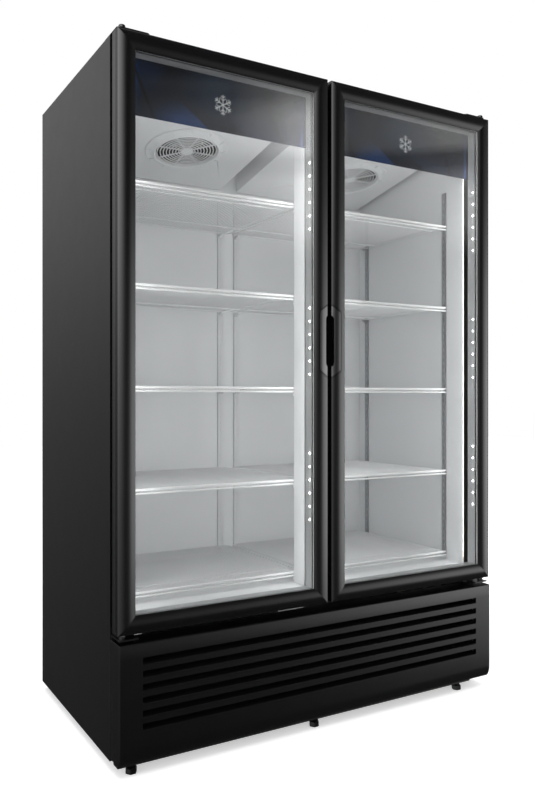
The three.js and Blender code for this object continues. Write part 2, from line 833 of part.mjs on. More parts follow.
function doorGasket() {
  const section = [
    [PIN.inset, DOOR_DEPTH + GAP],
    [PIN.inset, DOOR_REACH - 0.5],
    [PIN.inset + GASKET_WIDTH, DOOR_REACH - 0.5],
    [PIN.inset + GASKET_WIDTH, DOOR_DEPTH + GAP],
  ];
  return mitredRing(atDoor(section), doorX, doorZ);
}

// A light strip on a stile's inner face, behind the glass.
function ledStrip(x0) {
  const y = [doorFrontY + GLASS_FRONT + GLASS_THICK + 1, doorFrontY + STRIP_BACK];
  const inset = FRAME_WIDTH + 2;
  return box([x0, x0 + 3], y, [doorZ[0] + inset, doorZ[1] - inset]);
}

// ---- Assembly ----
addPart("insulation_body", insulationBody(), FOAM);
addPart("inner_liner", innerLiner(), WHITE_LINER);
addPair("SIDE_side_panel", sidePanel(), BLACK_STEEL);
addPart("top_panel", topPanel(), BLACK_STEEL);
addPart("rear_panel", rearPanel(), BLACK_STEEL);
addPart("door_sill", doorSill(), BLACK_STEEL);
addPart("center_mullion", centerMullion(), WHITE_LINER);
addPart("base_frame", baseFrame(), BLACK_STEEL);
addPart("front_grille", frontGrille(), BLACK_STEEL);

addPart("evaporator_cover", evaporatorCover(), WHITE_LINER);
addPart("evaporator_coil", evaporatorCoil(), ALUMINIUM);
["left", "right"].forEach((side, i) => {
  const fanGroup = new THREE.Group();
  fanGroup.position.set(FAN_X[i], fromFront(FAN_DEPTH), coverZ(FAN_DEPTH));
  fanGroup.rotation.x = coverTilt;
  refrigerator.add(fanGroup);
  addPart("fan_guard_" + side, fanGuard(), WHITE_LINER, fanGroup);
  const fan = addPart("evaporator_fan_" + side, fanBlades(98, 20, 22, 4.5), GREY_PLASTIC, fanGroup);
  fan.position.z = 48;
});

addPart("compressor", compressor(), COMPRESSOR_PAINT).position.set(330, fromFront(440), up(DECK + 13));
addPart(
  "condenser_coil",
  finBlock(condenserX, [fromFront(-10), fromFront(58)], [up(DECK + 2), up(330)], 20),
  ALUMINIUM,
);
addPart("condenser_fan_shroud", condenserFanShroud(), ZINC);
const condenserFan = addPart(
  "condenser_fan",
  fanBlades(CONDENSER_FAN_RADIUS, 24, 18, 4.5),
  ALUMINIUM,
);
condenserFan.rotation.x = -Math.PI / 2;
condenserFan.position.set(condenserCentreX, fromFront(shroudDepth + 20), up(CONDENSER_FAN_HEIGHT));
addPart("condensate_pan", condensatePan(), GREY_PLASTIC);
addPart("control_box", controlBox(), ZINC);
addPart("temperature_knob", temperatureKnob(), BLACK_PLASTIC).position.set(
  KNOB.x,
  fromFront(controlFront),
  up(KNOB.height),
);

addPair("top_hinge_SIDE", topHinge(), BLACK_STEEL);
addPair("bottom_hinge_SIDE", bottomHinge(), BLACK_STEEL);
addPair("SIDE_wall_pilaster_front", wallPilaster(96), ZINC);
addPair("SIDE_wall_pilaster_rear", wallPilaster(560), ZINC);
addPair("SIDE_back_pilaster", backPilaster(), ZINC);

SHELF_TOPS.forEach((shelfTop, i) => {
  for (const [side, group] of Object.entries(sides)) {
    addPart(`shelf_${side}_${i + 1}`, shelf(), WHITE_WIRE, group).position.z = up(shelfTop);
  }
});

addPair("SIDE_door_frame", doorFrame(), BLACK_PLASTIC);
addPair("SIDE_door_glass", doorGlass(), GLASS);
addPair("SIDE_door_gasket", doorGasket(), RUBBER);
addPair("SIDE_door_handle", doorHandle(), BLACK_PLASTIC);
addPair("SIDE_door_led_hinge_side", ledStrip(-doorOuterX + BACK_INSET + GAP), ALUMINIUM);
addPair("SIDE_door_led_meeting_side", ledStrip(-doorInnerX - BACK_INSET - GAP - 3), ALUMINIUM);

for (const [name, x, depth] of feet) {
  addPart(name, foot(), BLACK_PLASTIC).position.set(x, fromFront(depth), 0);
}

export default refrigerator;
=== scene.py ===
"""The looks of a two-door, glass-fronted reach-in refrigerator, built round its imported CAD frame.

Everything is in metres, +Z up, with the doors facing -Y.
"""

import json
from math import asin, copysign, cos, degrees, pi, radians, sin, sqrt

import bmesh
import bpy
from mathutils import Matrix, Vector

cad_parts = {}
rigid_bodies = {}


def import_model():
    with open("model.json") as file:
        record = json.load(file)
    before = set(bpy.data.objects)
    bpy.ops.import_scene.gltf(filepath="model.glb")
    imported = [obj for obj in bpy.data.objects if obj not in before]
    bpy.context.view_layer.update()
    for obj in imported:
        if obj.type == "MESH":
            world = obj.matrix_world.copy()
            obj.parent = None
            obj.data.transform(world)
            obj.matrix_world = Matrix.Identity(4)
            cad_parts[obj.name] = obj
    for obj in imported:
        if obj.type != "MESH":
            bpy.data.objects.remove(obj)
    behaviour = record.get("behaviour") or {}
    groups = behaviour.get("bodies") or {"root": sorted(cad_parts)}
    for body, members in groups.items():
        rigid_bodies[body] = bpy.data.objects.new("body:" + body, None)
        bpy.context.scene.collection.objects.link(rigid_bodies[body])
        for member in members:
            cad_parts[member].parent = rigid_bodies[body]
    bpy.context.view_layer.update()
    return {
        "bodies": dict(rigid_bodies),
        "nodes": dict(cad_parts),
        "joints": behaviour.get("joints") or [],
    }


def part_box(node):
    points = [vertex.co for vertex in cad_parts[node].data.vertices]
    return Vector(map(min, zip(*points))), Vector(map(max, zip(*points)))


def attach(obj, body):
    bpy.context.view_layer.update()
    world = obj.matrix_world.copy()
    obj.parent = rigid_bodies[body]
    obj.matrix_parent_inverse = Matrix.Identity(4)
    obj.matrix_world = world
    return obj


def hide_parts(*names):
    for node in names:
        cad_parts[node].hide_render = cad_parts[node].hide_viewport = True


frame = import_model()

moved = Matrix.Translation
MM = 0.001
SIDES = ("left", "right")
JOINTS = {joint["name"]: joint for joint in frame["joints"]}

# Planes that the CAD gives.
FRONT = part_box("door_sill")[0].y
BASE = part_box("left_side_panel")[0].z


# ---- Mesh building ----


def mm(*points):
    """Points given in millimetres, in metres."""
    return [tuple(value * MM for value in point) for point in points]


def new_object(name, data):
    item = bpy.data.objects.new(name, data)
    bpy.context.scene.collection.objects.link(item)
    return item


def arc(centre, radius, start, end, steps):
    """Points on a circle, from one angle to another, in degrees."""
    angles = [radians(start + (end - start) * i / steps) for i in range(steps + 1)]
    return [(centre[0] + radius * cos(a), centre[1] + radius * sin(a)) for a in angles]


def rounded_rectangle(x_span, y_span, radius, steps=4):
    """The outline of a rectangle with round corners."""
    (x0, x1), (y0, y1) = x_span, y_span
    corners = [(x1, y1, 0), (x0, y1, 90), (x0, y0, 180), (x1, y0, 270)]
    points = []
    for x, y, start in corners:
        centre = (x + (radius if x == x0 else -radius), y + (radius if y == y0 else -radius))
        points += arc(centre, radius, start, start + 90, steps)
    return points


class Shape:
    """Closed shells gathered one by one, then built as one named piece. Each adding call returns it."""

    def __init__(self):
        self.vertices = []
        self.faces = []

    def add(self, vertices, faces, place=Matrix()):
        start = len(self.vertices)
        self.vertices += [place @ Vector(v) for v in vertices]
        self.faces += [[start + i for i in face] for face in faces]
        return self

    def loft(self, rings, closed=False, place=Matrix()):
        """Joins rings of points into a skin. An open one gets a cap at each end."""
        count = len(rings[0])
        faces = []
        for r in range(len(rings) if closed else len(rings) - 1):
            a = r * count
            b = (r + 1) % len(rings) * count
            for i in range(count):
                j = (i + 1) % count
                faces.append([a + i, a + j, b + j, b + i])
        if not closed:
            faces.append(list(range(count)))
            faces.append([(len(rings) - 1) * count + i for i in range(count)])
        return self.add([v for ring in rings for v in ring], faces, place)

    def box(self, low, high, place=Matrix()):
        corners = [(low[0], low[1]), (high[0], low[1]), (high[0], high[1]), (low[0], high[1])]
        return self.loft([[(x, y, z) for x, y in corners] for z in (low[2], high[2])], place=place)

    def prism(self, outline, span, axis="z", place=Matrix()):
        """A flat outline carried along an axis. The outline is in the other two axes, in order."""
        order = {"x": (2, 0, 1), "y": (0, 2, 1), "z": (0, 1, 2)}[axis]
        rings = []
        for level in span:
            points = [(u, v, level) for u, v in outline]
            rings.append([tuple(p[i] for i in order) for p in points])
        return self.loft(rings, place=place)

    def turned(self, profile, sides=32, place=Matrix()):
        """A profile of (radius, z) points, turned about Z."""
        rings = []
        for i in range(sides):
            a = 2 * pi * i / sides
            rings.append([(r * cos(a), r * sin(a), z) for r, z in profile])
        return self.loft(rings, closed=True, place=place)

    def mitred_ring(self, profile, x_span, z_span):
        """A rectangular ring in the XZ plane. The profile's points are (inset from the outside, y).

        A short step on both sides of each mitre keeps the smooth shading of the long sides straight.
        """
        step = 1 * MM
        rings = []
        for right, top in ((0, 0), (1, 0), (1, 1), (0, 1)):
            into_x = -1 if right else 1
            into_z = -1 if top else 1
            shifts = [(0, into_z * step), (0, 0), (into_x * step, 0)]
            for dx, dz in shifts if right == top else reversed(shifts):
                rings.append([
                    (x_span[right] + into_x * inset + dx, y, z_span[top] + into_z * inset + dz)
                    for inset, y in profile
                ])
        return self.loft(rings, closed=True)

    def tube(self, path, radius, sides=8, closed=False):
        """A round bar along a path."""
        points = [Vector(p) for p in path]
        count = len(points)
        normal = None
        rings = []
        for i, point in enumerate(points):
            before = points[i - 1] if i or closed else point
            after = points[(i + 1) % count] if i + 1 < count or closed else point
            along = (after - before).normalized()
            normal = along.orthogonal() if normal is None else normal - along * normal.dot(along)
            normal.normalize()
            across = along.cross(normal)
            angles = [2 * pi * k / sides for k in range(sides)]
            rings.append([point + radius * (normal * cos(a) + across * sin(a)) for a in angles])
        return self.loft(rings, closed=closed)

    def pierced_sheet(self, xs, front, back, is_open, place=Matrix()):
        """A sheet between two (y, z) lines, carried along X in columns.

        Cells where is_open(column, row) holds are left out.
        """
        rows = len(front) - 1
        solid = {(i, j) for i in range(len(xs) - 1) for j in range(rows) if not is_open(i, j)}
        index = {}
        vertices = []
        faces = []

        def corner(i, j, level):
            key = (i, j, level)
            if key not in index:
                index[key] = len(vertices)
                vertices.append((xs[i], *(front, back)[level][j]))
            return index[key]

        for i, j in sorted(solid):
            around = [(i, j), (i + 1, j), (i + 1, j + 1), (i, j + 1)]
            faces.append([corner(a, b, 0) for a, b in around])
            faces.append([corner(a, b, 1) for a, b in around])
            beside = [(i, j - 1), (i + 1, j), (i, j + 1), (i - 1, j)]
            for k, neighbour in enumerate(beside):
                if neighbour not in solid:
                    (a, b), (c, d) = around[k], around[(k + 1) % 4]
                    faces.append([corner(a, b, 0), corner(c, d, 0), corner(c, d, 1), corner(a, b, 1)])
        return self.add(vertices, faces, place)

    def mesh(self, name, crease=35):
        """The gathered shells as one mesh."""
        mesh = bpy.data.meshes.new(name)
        mesh.from_pydata(self.vertices, [], self.faces)
        work = bmesh.new()
        work.from_mesh(mesh)
        bmesh.ops.remove_doubles(work, verts=work.verts, dist=1e-7)
        bmesh.ops.recalc_face_normals(work, faces=work.faces)
        work.to_mesh(mesh)
        work.free()
        shade(mesh, crease)
        return mesh

    def build(self, name, material, replaces=(), body="cabinet", bevel=0.0, crease=35):
        """The gathered shells as a piece that rides on a body and stands for CAD nodes."""
        mesh = self.mesh(name, crease)
        mesh.materials.append(MATERIALS[material])
        piece = new_object(name, mesh)
        if bevel:
            soften(piece, bevel)
        if replaces:
            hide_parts(*replaces)
        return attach(piece, body)


def shade(mesh, crease):
    """Smooth shading, except across edges sharper than the crease angle."""
    mesh.polygons.foreach_set("use_smooth", [True] * len(mesh.polygons))
    mesh.set_sharp_from_angle(angle=radians(crease))


def soften(piece, width):
    """Rounds a piece's sharp edges a little."""
    modifier = piece.modifiers.new("soft_edges", "BEVEL")
    modifier.width = width
    modifier.segments = 2
    modifier.limit_method = "ANGLE"
    modifier.angle_limit = radians(40)
    modifier.harden_normals = True


def carve(piece, shape, operation):
    """Cuts or keeps what a shape covers, and applies it to the piece's mesh."""
    tool = new_object("tool", shape.mesh("tool"))
    modifier = piece.modifiers.new(operation, "BOOLEAN")
    modifier.operation = operation
    modifier.solver = "EXACT"
    modifier.object = tool
    depsgraph = bpy.context.evaluated_depsgraph_get()
    mesh = bpy.data.meshes.new_from_object(piece.evaluated_get(depsgraph))
    piece.modifiers.clear()
    piece.data = mesh
    bpy.data.objects.remove(tool)


def joint_frame(name, offset=0.0):
    """The place of a joint's axis, as a matrix whose Z is the axis, moved along it by an offset."""
    joint = JOINTS[name]
    axis = Vector(joint["axis"])
    turn = axis.to_track_quat("Z", "Y").to_matrix().to_4x4()
    return moved(Vector(joint["pos_m"]) + axis * offset) @ turn


# ---- Materials ----

MATERIALS = {}


class Nodes:
    """A material's or world's node tree, with short calls for the nodes that the finishes share."""

    def __init__(self, owner):
        owner.use_nodes = True
        self.tree = owner.node_tree
        self.place = self.add("ShaderNodeTexCoord").outputs["Object"]

    def add(self, kind, inputs=(), **settings):
        node = self.tree.nodes.new(kind)
        for key, value in settings.items():
            setattr(node, key, value)
        for key, value in dict(inputs).items():
            self.feed(node.inputs[key], value)
        return node

    def feed(self, socket, value):
        if isinstance(value, bpy.types.NodeSocket):
            self.tree.links.new(value, socket)
        elif getattr(socket, "type", "") == "RGBA" and len(value) == 3:
            socket.default_value = (*value, 1)
        else:
            socket.default_value = value

    def set(self, **values):
        """Feeds the shader's inputs, given by name with _ for a space."""
        for key, value in values.items():
            self.feed(self.shader.inputs[key.replace("_", " ")], value)

    def stretched(self, stretch):
        return self.add("ShaderNodeMapping", {"Vector": self.place, "Scale": stretch}).outputs[0]

    def noise(self, size, detail=2.0, stretch=(1, 1, 1)):
        """Noise from 0 to 1 whose blotches are about this big."""
        inputs = {"Vector": self.stretched(stretch), "Scale": 1 / size, "Detail": detail}
        return self.add("ShaderNodeTexNoise", inputs).outputs["Fac"]

    def cells(self, size, stretch=(1, 1, 1)):
        inputs = {"Vector": self.stretched(stretch), "Scale": 1 / size}
        return self.add("ShaderNodeTexVoronoi", inputs).outputs["Distance"]

    def axes(self, vector):
        return self.add("ShaderNodeSeparateXYZ", {"Vector": vector}).outputs

    def span(self, value, low, high, start=0.0, end=1.0):
        """Maps a value from start..end to low..high."""
        inputs = {"Value": value, "From Min": start, "From Max": end, "To Min": low, "To Max": high}
        return self.add("ShaderNodeMapRange", inputs).outputs["Result"]

    def mix(self, factor, first, second):
        inputs = {"Factor": factor}
        node = self.add("ShaderNodeMix", inputs, data_type="RGBA")
        colours = [socket for socket in node.inputs if socket.type == "RGBA"]
        self.feed(colours[0], first)
        self.feed(colours[1], second)
        return next(socket for socket in node.outputs if socket.type == "RGBA")

    def math(self, operation, first, second=0.0):
        return self.add("ShaderNodeMath", {0: first, 1: second}, operation=operation).outputs[0]

    def graded(self, value, stops):
        """A level that follows straight lines between stops of (value, level)."""
        start, end = stops[0][0], stops[-1][0]
        peak = max(level for _, level in stops)
        node = self.add("ShaderNodeValToRGB", {"Fac": self.span(value, 0, 1, start, end)})
        elements = node.color_ramp.elements
        while len(elements) < len(stops):
            elements.new(1.0)
        for element, (at, level) in zip(elements, stops):
            element.position = (at - start) / (end - start)
            element.color = (level / peak, level / peak, level / peak, 1)
        return self.math("MULTIPLY", node.outputs["Color"], peak)

    def bump(self, height, depth):
        inputs = {"Height": height, "Strength": 1.0, "Distance": depth}
        return self.add("ShaderNodeBump", inputs).outputs["Normal"]


def new_material(name):
    """A new material's nodes, with its shader at hand."""
    material = bpy.data.materials.new(name)
    MATERIALS[name] = material
    nodes = Nodes(material)
    nodes.shader = nodes.tree.nodes["Principled BSDF"]
    nodes.output = nodes.tree.nodes["Material Output"]
    return nodes


def finish(
    name, colour, roughness, metallic=0.0, shade=0.12, grain=1.0, depth=0.0, detail=2.0, stretch=(1, 1, 1)
):
    """A finish with blotches of slightly different shade and gloss over a fine grain, in millimetres."""
    nodes = new_material(name)
    blotch = nodes.noise(0.25, detail=4)
    smudge = nodes.noise(0.06, detail=5)
    darker = [c * (1 - shade) for c in colour]
    lighter = [c * (1 + shade) for c in colour]
    nodes.set(
        Base_Color=nodes.mix(blotch, darker, lighter),
        Roughness=nodes.span(smudge, roughness * 0.95, roughness * 1.05, 0.3, 0.7),
        Metallic=metallic,
    )
    if depth:
        nodes.set(Normal=nodes.bump(nodes.noise(grain * MM, detail, stretch), depth * MM))
    return nodes


def make_grip_plastic():
    """The finger grip: glossier than the frame, with painted shade inside its recess, where its reflections
    are turned down with depth.
    """
    nodes = finish("grip_plastic", SATIN_BLACK, 0.2, shade=0.2)
    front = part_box("left_door_frame")[0].y
    depth = nodes.axes(nodes.place)["Y"]
    # Painted shade: reflections fade from full at 9 mm behind the front to a tenth at 14 mm, deep in the
    # recess.
    nodes.set(Specular_IOR_Level=nodes.span(depth, 1.0, 0.1, front + 9 * MM, front + 14 * MM))


def make_zinc():
    """Zinc plate: spangled, with some bright and some dull grains."""
    nodes = finish("zinc", (0.5, 0.51, 0.52), 0.36, 1.0, shade=0.15)
    nodes.set(Roughness=nodes.span(nodes.cells(6 * MM), 0.26, 0.46))


SATIN_BLACK = (0.003, 0.003, 0.0034)
DRAWN = (1, 1, 0.01)  # a grain pulled out into lines along Z


def make_plain_finishes():
    finish("black_steel", (0.0018, 0.0018, 0.0021), 0.3, shade=0.15, grain=1.6, depth=0.05, detail=1)
    finish("grille_coat", SATIN_BLACK, 0.2, shade=0.15, grain=2, depth=0.03, detail=1)
    finish("black_plastic", SATIN_BLACK, 0.2, shade=0.2, grain=0.8, depth=0.01, stretch=DRAWN)
    finish("white_liner", (0.78, 0.79, 0.80), 0.38, shade=0.03, grain=3, depth=0.03, detail=3)
    finish("white_wire", (0.82, 0.825, 0.83), 0.3, shade=0.05, grain=2, depth=0.04, detail=3)
    finish("aluminium", (0.62, 0.63, 0.64), 0.34, 1.0, depth=0.03, stretch=(1, 1, 0.05))
    finish("led_profile", (0.58, 0.585, 0.59), 0.42, 0.7, shade=0.08, grain=0.7, depth=0.03, stretch=DRAWN)
    finish("gasket_rubber", (0.008, 0.008, 0.008), 0.7, grain=0.8, depth=0.03)
    finish("grey_plastic", (0.03, 0.031, 0.033), 0.45, grain=1.2, depth=0.03)
    finish("compressor_paint", (0.006, 0.006, 0.007), 0.22, grain=9, depth=0.15)
    finish("foam", (0.62, 0.52, 0.3), 0.9, shade=0.25, grain=4, depth=0.6)
    finish("steel_screw", (0.35, 0.35, 0.36), 0.35, 1.0, grain=0.6, depth=0.02)
    finish("black_screw", (0.01, 0.01, 0.01), 0.35, 0.4, grain=0.6, depth=0.02)
    finish("copper", (0.72, 0.33, 0.2), 0.3, 1.0, grain=6, depth=0.05)
    finish("emblem_print", (0.7, 0.72, 0.74), 0.4, depth=0.01)
    finish("circuit_board", (0.6, 0.61, 0.6), 0.5, depth=0.02)


def make_glass():
    """A clear pane: it lets light straight through and mirrors more of it at a grazing angle."""
    nodes = new_material("door_glass")
    nodes.tree.nodes.remove(nodes.shader)
    smear = nodes.noise(0.12, detail=4)
    mirror = nodes.add("ShaderNodeBsdfGlossy", {"Color": (1, 1, 1), "Roughness": 0.0})
    clear = nodes.add("ShaderNodeBsdfTransparent", {"Color": (0.984, 0.986, 0.985)})
    facing = nodes.add("ShaderNodeLayerWeight", {"Blend": 0.5}).outputs["Facing"]
    grazing = nodes.math("POWER", facing, 4.0)
    outer_face = nodes.span(nodes.add("ShaderNodeNewGeometry").outputs["Backfacing"], 1, 0)
    share = nodes.math("MULTIPLY", nodes.span(grazing, 0.08, 0.9), outer_face)
    share = nodes.math("MULTIPLY", share, nodes.span(smear, 0.9, 1.05, 0.35, 0.7))
    pane = nodes.add("ShaderNodeMixShader", {0: share, 1: clear.outputs[0], 2: mirror.outputs[0]})
    nodes.tree.links.new(pane.outputs[0], nodes.output.inputs["Surface"])


def make_graphic_film():
    """Navy printed film: a haze at the upper left, blue facets, and two dark streaks."""
    nodes = new_material("graphic_film")
    axes = nodes.axes(nodes.add("ShaderNodeTexCoord").outputs["Generated"])
    across, up = axes["X"], axes["Z"]

    def right_of(slope, offset, softness):
        """1 on the right of a slanted line, 0 on its left."""
        lean = nodes.math("MULTIPLY", up, slope)
        return nodes.span(nodes.math("ADD", across, lean), 0, 1, offset - softness, offset + softness)

    def left_of(*line):
        return nodes.math("SUBTRACT", 1.0, right_of(*line))

    def height(low, high, start, end):
        return nodes.span(up, low, high, start, end)

    def streak(at):
        return (0.0006, 0.0006, 0.0008), 0.95, right_of(0.12, at, 0.003), left_of(0.12, at + 0.016, 0.003)

    cloud = nodes.noise(0.16, detail=2)
    navy = nodes.mix(up, (0.0022, 0.006, 0.016), (0.0012, 0.003, 0.009))
    layers = (  # a colour, its strength, and the covers that bound it
        ((0.002, 0.03, 0.11), 0.9, left_of(0, 0.1, 0.1), height(0, 1, 0.3, 0.8), cloud),
        ((0.0025, 0.02, 0.05), 0.8, right_of(0, 0.35, 0.1), left_of(0, 0.62, 0.15), height(0, 1, 0.1, 0.6)),
        ((0.005, 0.035, 0.13), 0.85, right_of(-0.2, 0.17, 0.08), left_of(0.375, 0.42, 0.004),
         height(1, 0, 0.1, 0.45)),
        ((0.012, 0.02, 0.06), 0.8, right_of(0.5, 0.66, 0.01), height(1, 0, 0.0, 0.45)),
        streak(0.12),
        streak(0.85),
    )
    for colour, strength, *covers in layers:
        for cover in covers:
            strength = nodes.math("MULTIPLY", cover, strength)
        navy = nodes.mix(strength, navy, colour)
    nodes.set(Base_Color=navy, Roughness=nodes.span(cloud, 0.5, 0.65), Specular_IOR_Level=0.0)


def make_led_glow():
    """The light of the small lamps: brightest in the middle of each lens."""
    nodes = finish("led_glow", (0.9, 0.93, 1.0), 0.3)
    facing = nodes.add("ShaderNodeLayerWeight", {"Blend": 0.3}).outputs["Facing"]
    nodes.set(Emission_Color=(0.93, 0.96, 1.0), Emission_Strength=nodes.span(facing, 9.0, 4.0))


def make_materials():
    make_plain_finishes()
    make_grip_plastic()
    make_zinc()
    make_glass()
    make_graphic_film()
    make_led_glow()


# ---- CAD nodes that stay, with their finishes ----

KEPT = {  # the nodes of each finish, with how far their edges are rounded, in millimetres
    "black_steel": {
        "left_side_panel": 0.4, "right_side_panel": 0.4, "top_panel": 0.4, "rear_panel": 0,
        "door_sill": 0.3, "base_frame": 1.0, "top_hinge_left": 0.8, "top_hinge_right": 0.8,
        "bottom_hinge_left": 0.8, "bottom_hinge_right": 0.8,
    },
    "foam": {"insulation_body": 0},
    "white_liner": {"inner_liner": 0, "center_mullion": 0.8, "evaporator_cover": 0.3},
    "zinc": {"condenser_fan_shroud": 0, "control_box": 0},
    "aluminium": {"evaporator_coil": 0, "condenser_coil": 0, "condenser_fan": 0},
    "grey_plastic": {"condensate_pan": 0},
}


def finish_kept_nodes():
    for material, roundings in KEPT.items():
        for name, rounding in roundings.items():
            node = frame["nodes"][name]
            node.data.materials.clear()
            node.data.materials.append(MATERIALS[material])
            if rounding:
                node.modifiers.new("weld", "WELD").merge_threshold = 1e-5
                soften(node, rounding * MM)


# ---- Doors ----

FACE_WIDTH = 51 * MM  # stiles and rails seen from the front
BACK_WIDTH = 48 * MM  # and behind the glass
GROOVE = 40 * MM  # the glass reaches this far from the door's edge
PANE = 4 * MM


class Door:
    """One door's planes and edges, taken from its frame in the CAD."""

    def __init__(self, side):
        self.side = side
        self.body = f"door_{side}"
        self.low, self.high = self.box("frame")
        self.x_span = (self.low.x, self.high.x)
        self.z_span = (self.low.z, self.high.z)
        self.stiles = ((self.low.x, 1), (self.high.x, -1))  # each outer edge, and the way inwards
        self.front = self.low.y
        self.depth = self.high.y - self.low.y
        self.meeting_x = self.high.x if side == "left" else self.low.x
        self.outward = -1 if side == "left" else 1
        glass_low, glass_high = self.box("glass")
        self.glass_front = glass_low.y - self.front - 0.1 * MM
        self.glass_back = glass_high.y - self.front

    def box(self, part):
        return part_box(f"{self.side}_door_{part}")

    def ring(self, section):
        """A mitred ring round the door. The section's points are (inset, depth behind the front)."""
        placed = [(inset, self.front + depth) for inset, depth in section]
        return Shape().mitred_ring(placed, self.x_span, self.z_span)

    def build(self, shape, name, material, parts=(), **looks):
        """A shape as a piece that rides on the door and stands for some of its CAD parts."""
        nodes = [f"{self.side}_door_{part}" for part in parts]
        return shape.build(f"door_{name}_{self.side}", material, nodes, self.body, **looks)


FACE_ARCH = 5.5 * MM  # the middle of a stile's face stands in front of its edges by this much


def face_profile(lip_end):
    """The outside of the frame's section: a lip at the glass, then a shallow arch to the outer edge."""
    half = FACE_WIDTH / 2
    bend = (half * half + FACE_ARCH * FACE_ARCH) / (2 * FACE_ARCH)
    tilt = degrees(asin(half / bend))
    arch = arc((half, bend), bend, 270 + tilt, 270 - tilt, 18)
    corner = 1.2 * MM
    return [(FACE_WIDTH, lip_end)] + arch[:-1] + [(corner * 0.3, FACE_ARCH), (0, FACE_ARCH + corner)]


def frame_section(door):
    """The frame's section, with drawing lines on its outer edge and a groove that holds the glass."""
    back, groove_back = door.depth, door.glass_back + 0.5 * MM
    section = face_profile(door.glass_front)
    section += mm((0, 28), (0.6, 28.6), (0, 29.2), (0, 34), (0.6, 34.6), (0, 35.2))
    section += [(0, back - 0.8 * MM), (0.8 * MM, back), (BACK_WIDTH, back)]
    return section + [(BACK_WIDTH, groove_back), (GROOVE, groove_back), (GROOVE, door.glass_front)]


def grip_outline(door, room=0.0):
    """The finger grip's outline: a long side at the door's edge and a shorter one at the glass side."""
    low, high = door.box("handle")
    slant = 22 * MM
    edge = door.meeting_x - door.outward * 1 * MM
    inner = (low.x if door.side == "left" else high.x) + door.outward * room
    bottom, top = low.z - room, high.z + room
    return [(edge, bottom), (edge, top), (inner, top - slant), (inner, bottom + slant)]


def build_door_frame(door):
    piece = door.build(door.ring(frame_section(door)), "frame", "black_plastic", ["frame"])
    seat = Shape().prism(grip_outline(door, 2.6 * MM), (door.front - 1 * MM, door.front + 34.3 * MM), "y")
    carve(piece, seat, "DIFFERENCE")
    pin_x, pin_y, _ = JOINTS[f"{door.body}_swing"]["pos_m"]
    for z in door.z_span:
        bore = Shape().turned(mm((0, -19), (5.8, -19), (5.8, 19), (0, 19)), place=moved((pin_x, pin_y, z)))
        carve(piece, bore, "DIFFERENCE")
    shade(piece.data, 30)


def build_door_handle(door):
    """The grip insert: a length of the same section, with a recess for the fingers."""
    depth = 34 * MM
    inner = GROOVE - 1 * MM
    section = face_profile(door.glass_front) + [(0, depth), (inner, depth), (inner, door.glass_front)]
    piece = door.build(door.ring(section), "grip", "grip_plastic", ["handle"])
    seat = Shape().prism(grip_outline(door), (door.front - 1 * MM, door.front + depth), "y")
    carve(piece, seat, "INTERSECT")
    low, high = door.box("handle")
    radius = 15.5 * MM
    margin = 31 * MM  # from the insert's end to the recess
    recess = rounded_rectangle((-radius, radius), (low.z + margin, high.z - margin), radius * 0.98, 10)
    scoop = Shape().prism(recess, (door.front - 2 * MM, door.front + depth - 6 * MM), "y")
    carve(piece, scoop, "DIFFERENCE")
    shade(piece.data, 30)
    soften(piece, 1.2 * MM)


def build_glazing(door):
    """Two panes with an aluminium spacer between them."""
    low, high = door.box("glass")
    panes = Shape()
    for y in (low.y, high.y - PANE):
        panes.box((low.x, y, low.z), (high.x, y + PANE, high.z))
    door.build(panes, "panes", "door_glass", ["glass"], bevel=0.5 * MM)
    gap = high.y - low.y - 2 * PANE
    section = mm((2, 0.2), (8, 0.2), (8.6, 1.2))
    section += [(inset, gap - y) for inset, y in reversed(section)]
    section = [(x, low.y + PANE + y) for x, y in section]
    spacer = Shape().mitred_ring(section, (low.x, high.x), (low.z, high.z))
    door.build(spacer, "spacer", "led_profile")


BAND_BOTTOM = 1784 * MM  # height above the cabinet's bottom edge
PROFILE_BACK = 56 * MM  # the inner trim stands a little proud of the door's back
TRIM_INSET = BACK_WIDTH + 1.8 * MM


def build_graphic_band(door):
    """The printed panel that closes the top of the door, between the inner trim's back edges."""
    inset = TRIM_INSET + 0.2 * MM
    x0, x1, top = door.low.x + inset, door.high.x - inset, door.high.z - inset
    bottom = BASE + BAND_BOTTOM
    y = door.front + PROFILE_BACK - 2 * MM
    band = Shape().box((x0, y, bottom), (x1, y + 1.6 * MM, top))
    door.build(band, "graphic", "graphic_film")
    build_snowflake(door, Vector(((x0 + x1) / 2, y - 0.1 * MM, (bottom + top) / 2)))


def build_snowflake(door, centre):
    """A plain six-armed flake, printed on the band."""
    flake = Shape()
    reach = 30 * MM
    line = 2.6 * MM
    thickness = 0.12 * MM

    def stroke(place, width, length):
        flake.box((-width / 2, -thickness, 0), (width / 2, 0, length), place)

    for arm in range(6):
        place = moved(centre) @ Matrix.Rotation(radians(60 * arm), 4, "Y")
        stroke(place, line, reach)
        for share, length in ((0.45, 12 * MM), (0.72, 9 * MM)):
            for lean in (-55, 55):
                twig = moved((0, 0, reach * share)) @ Matrix.Rotation(radians(lean), 4, "Y")
                stroke(place @ twig, line / 1.3, length)
    door.build(flake, "emblem", "emblem_print")


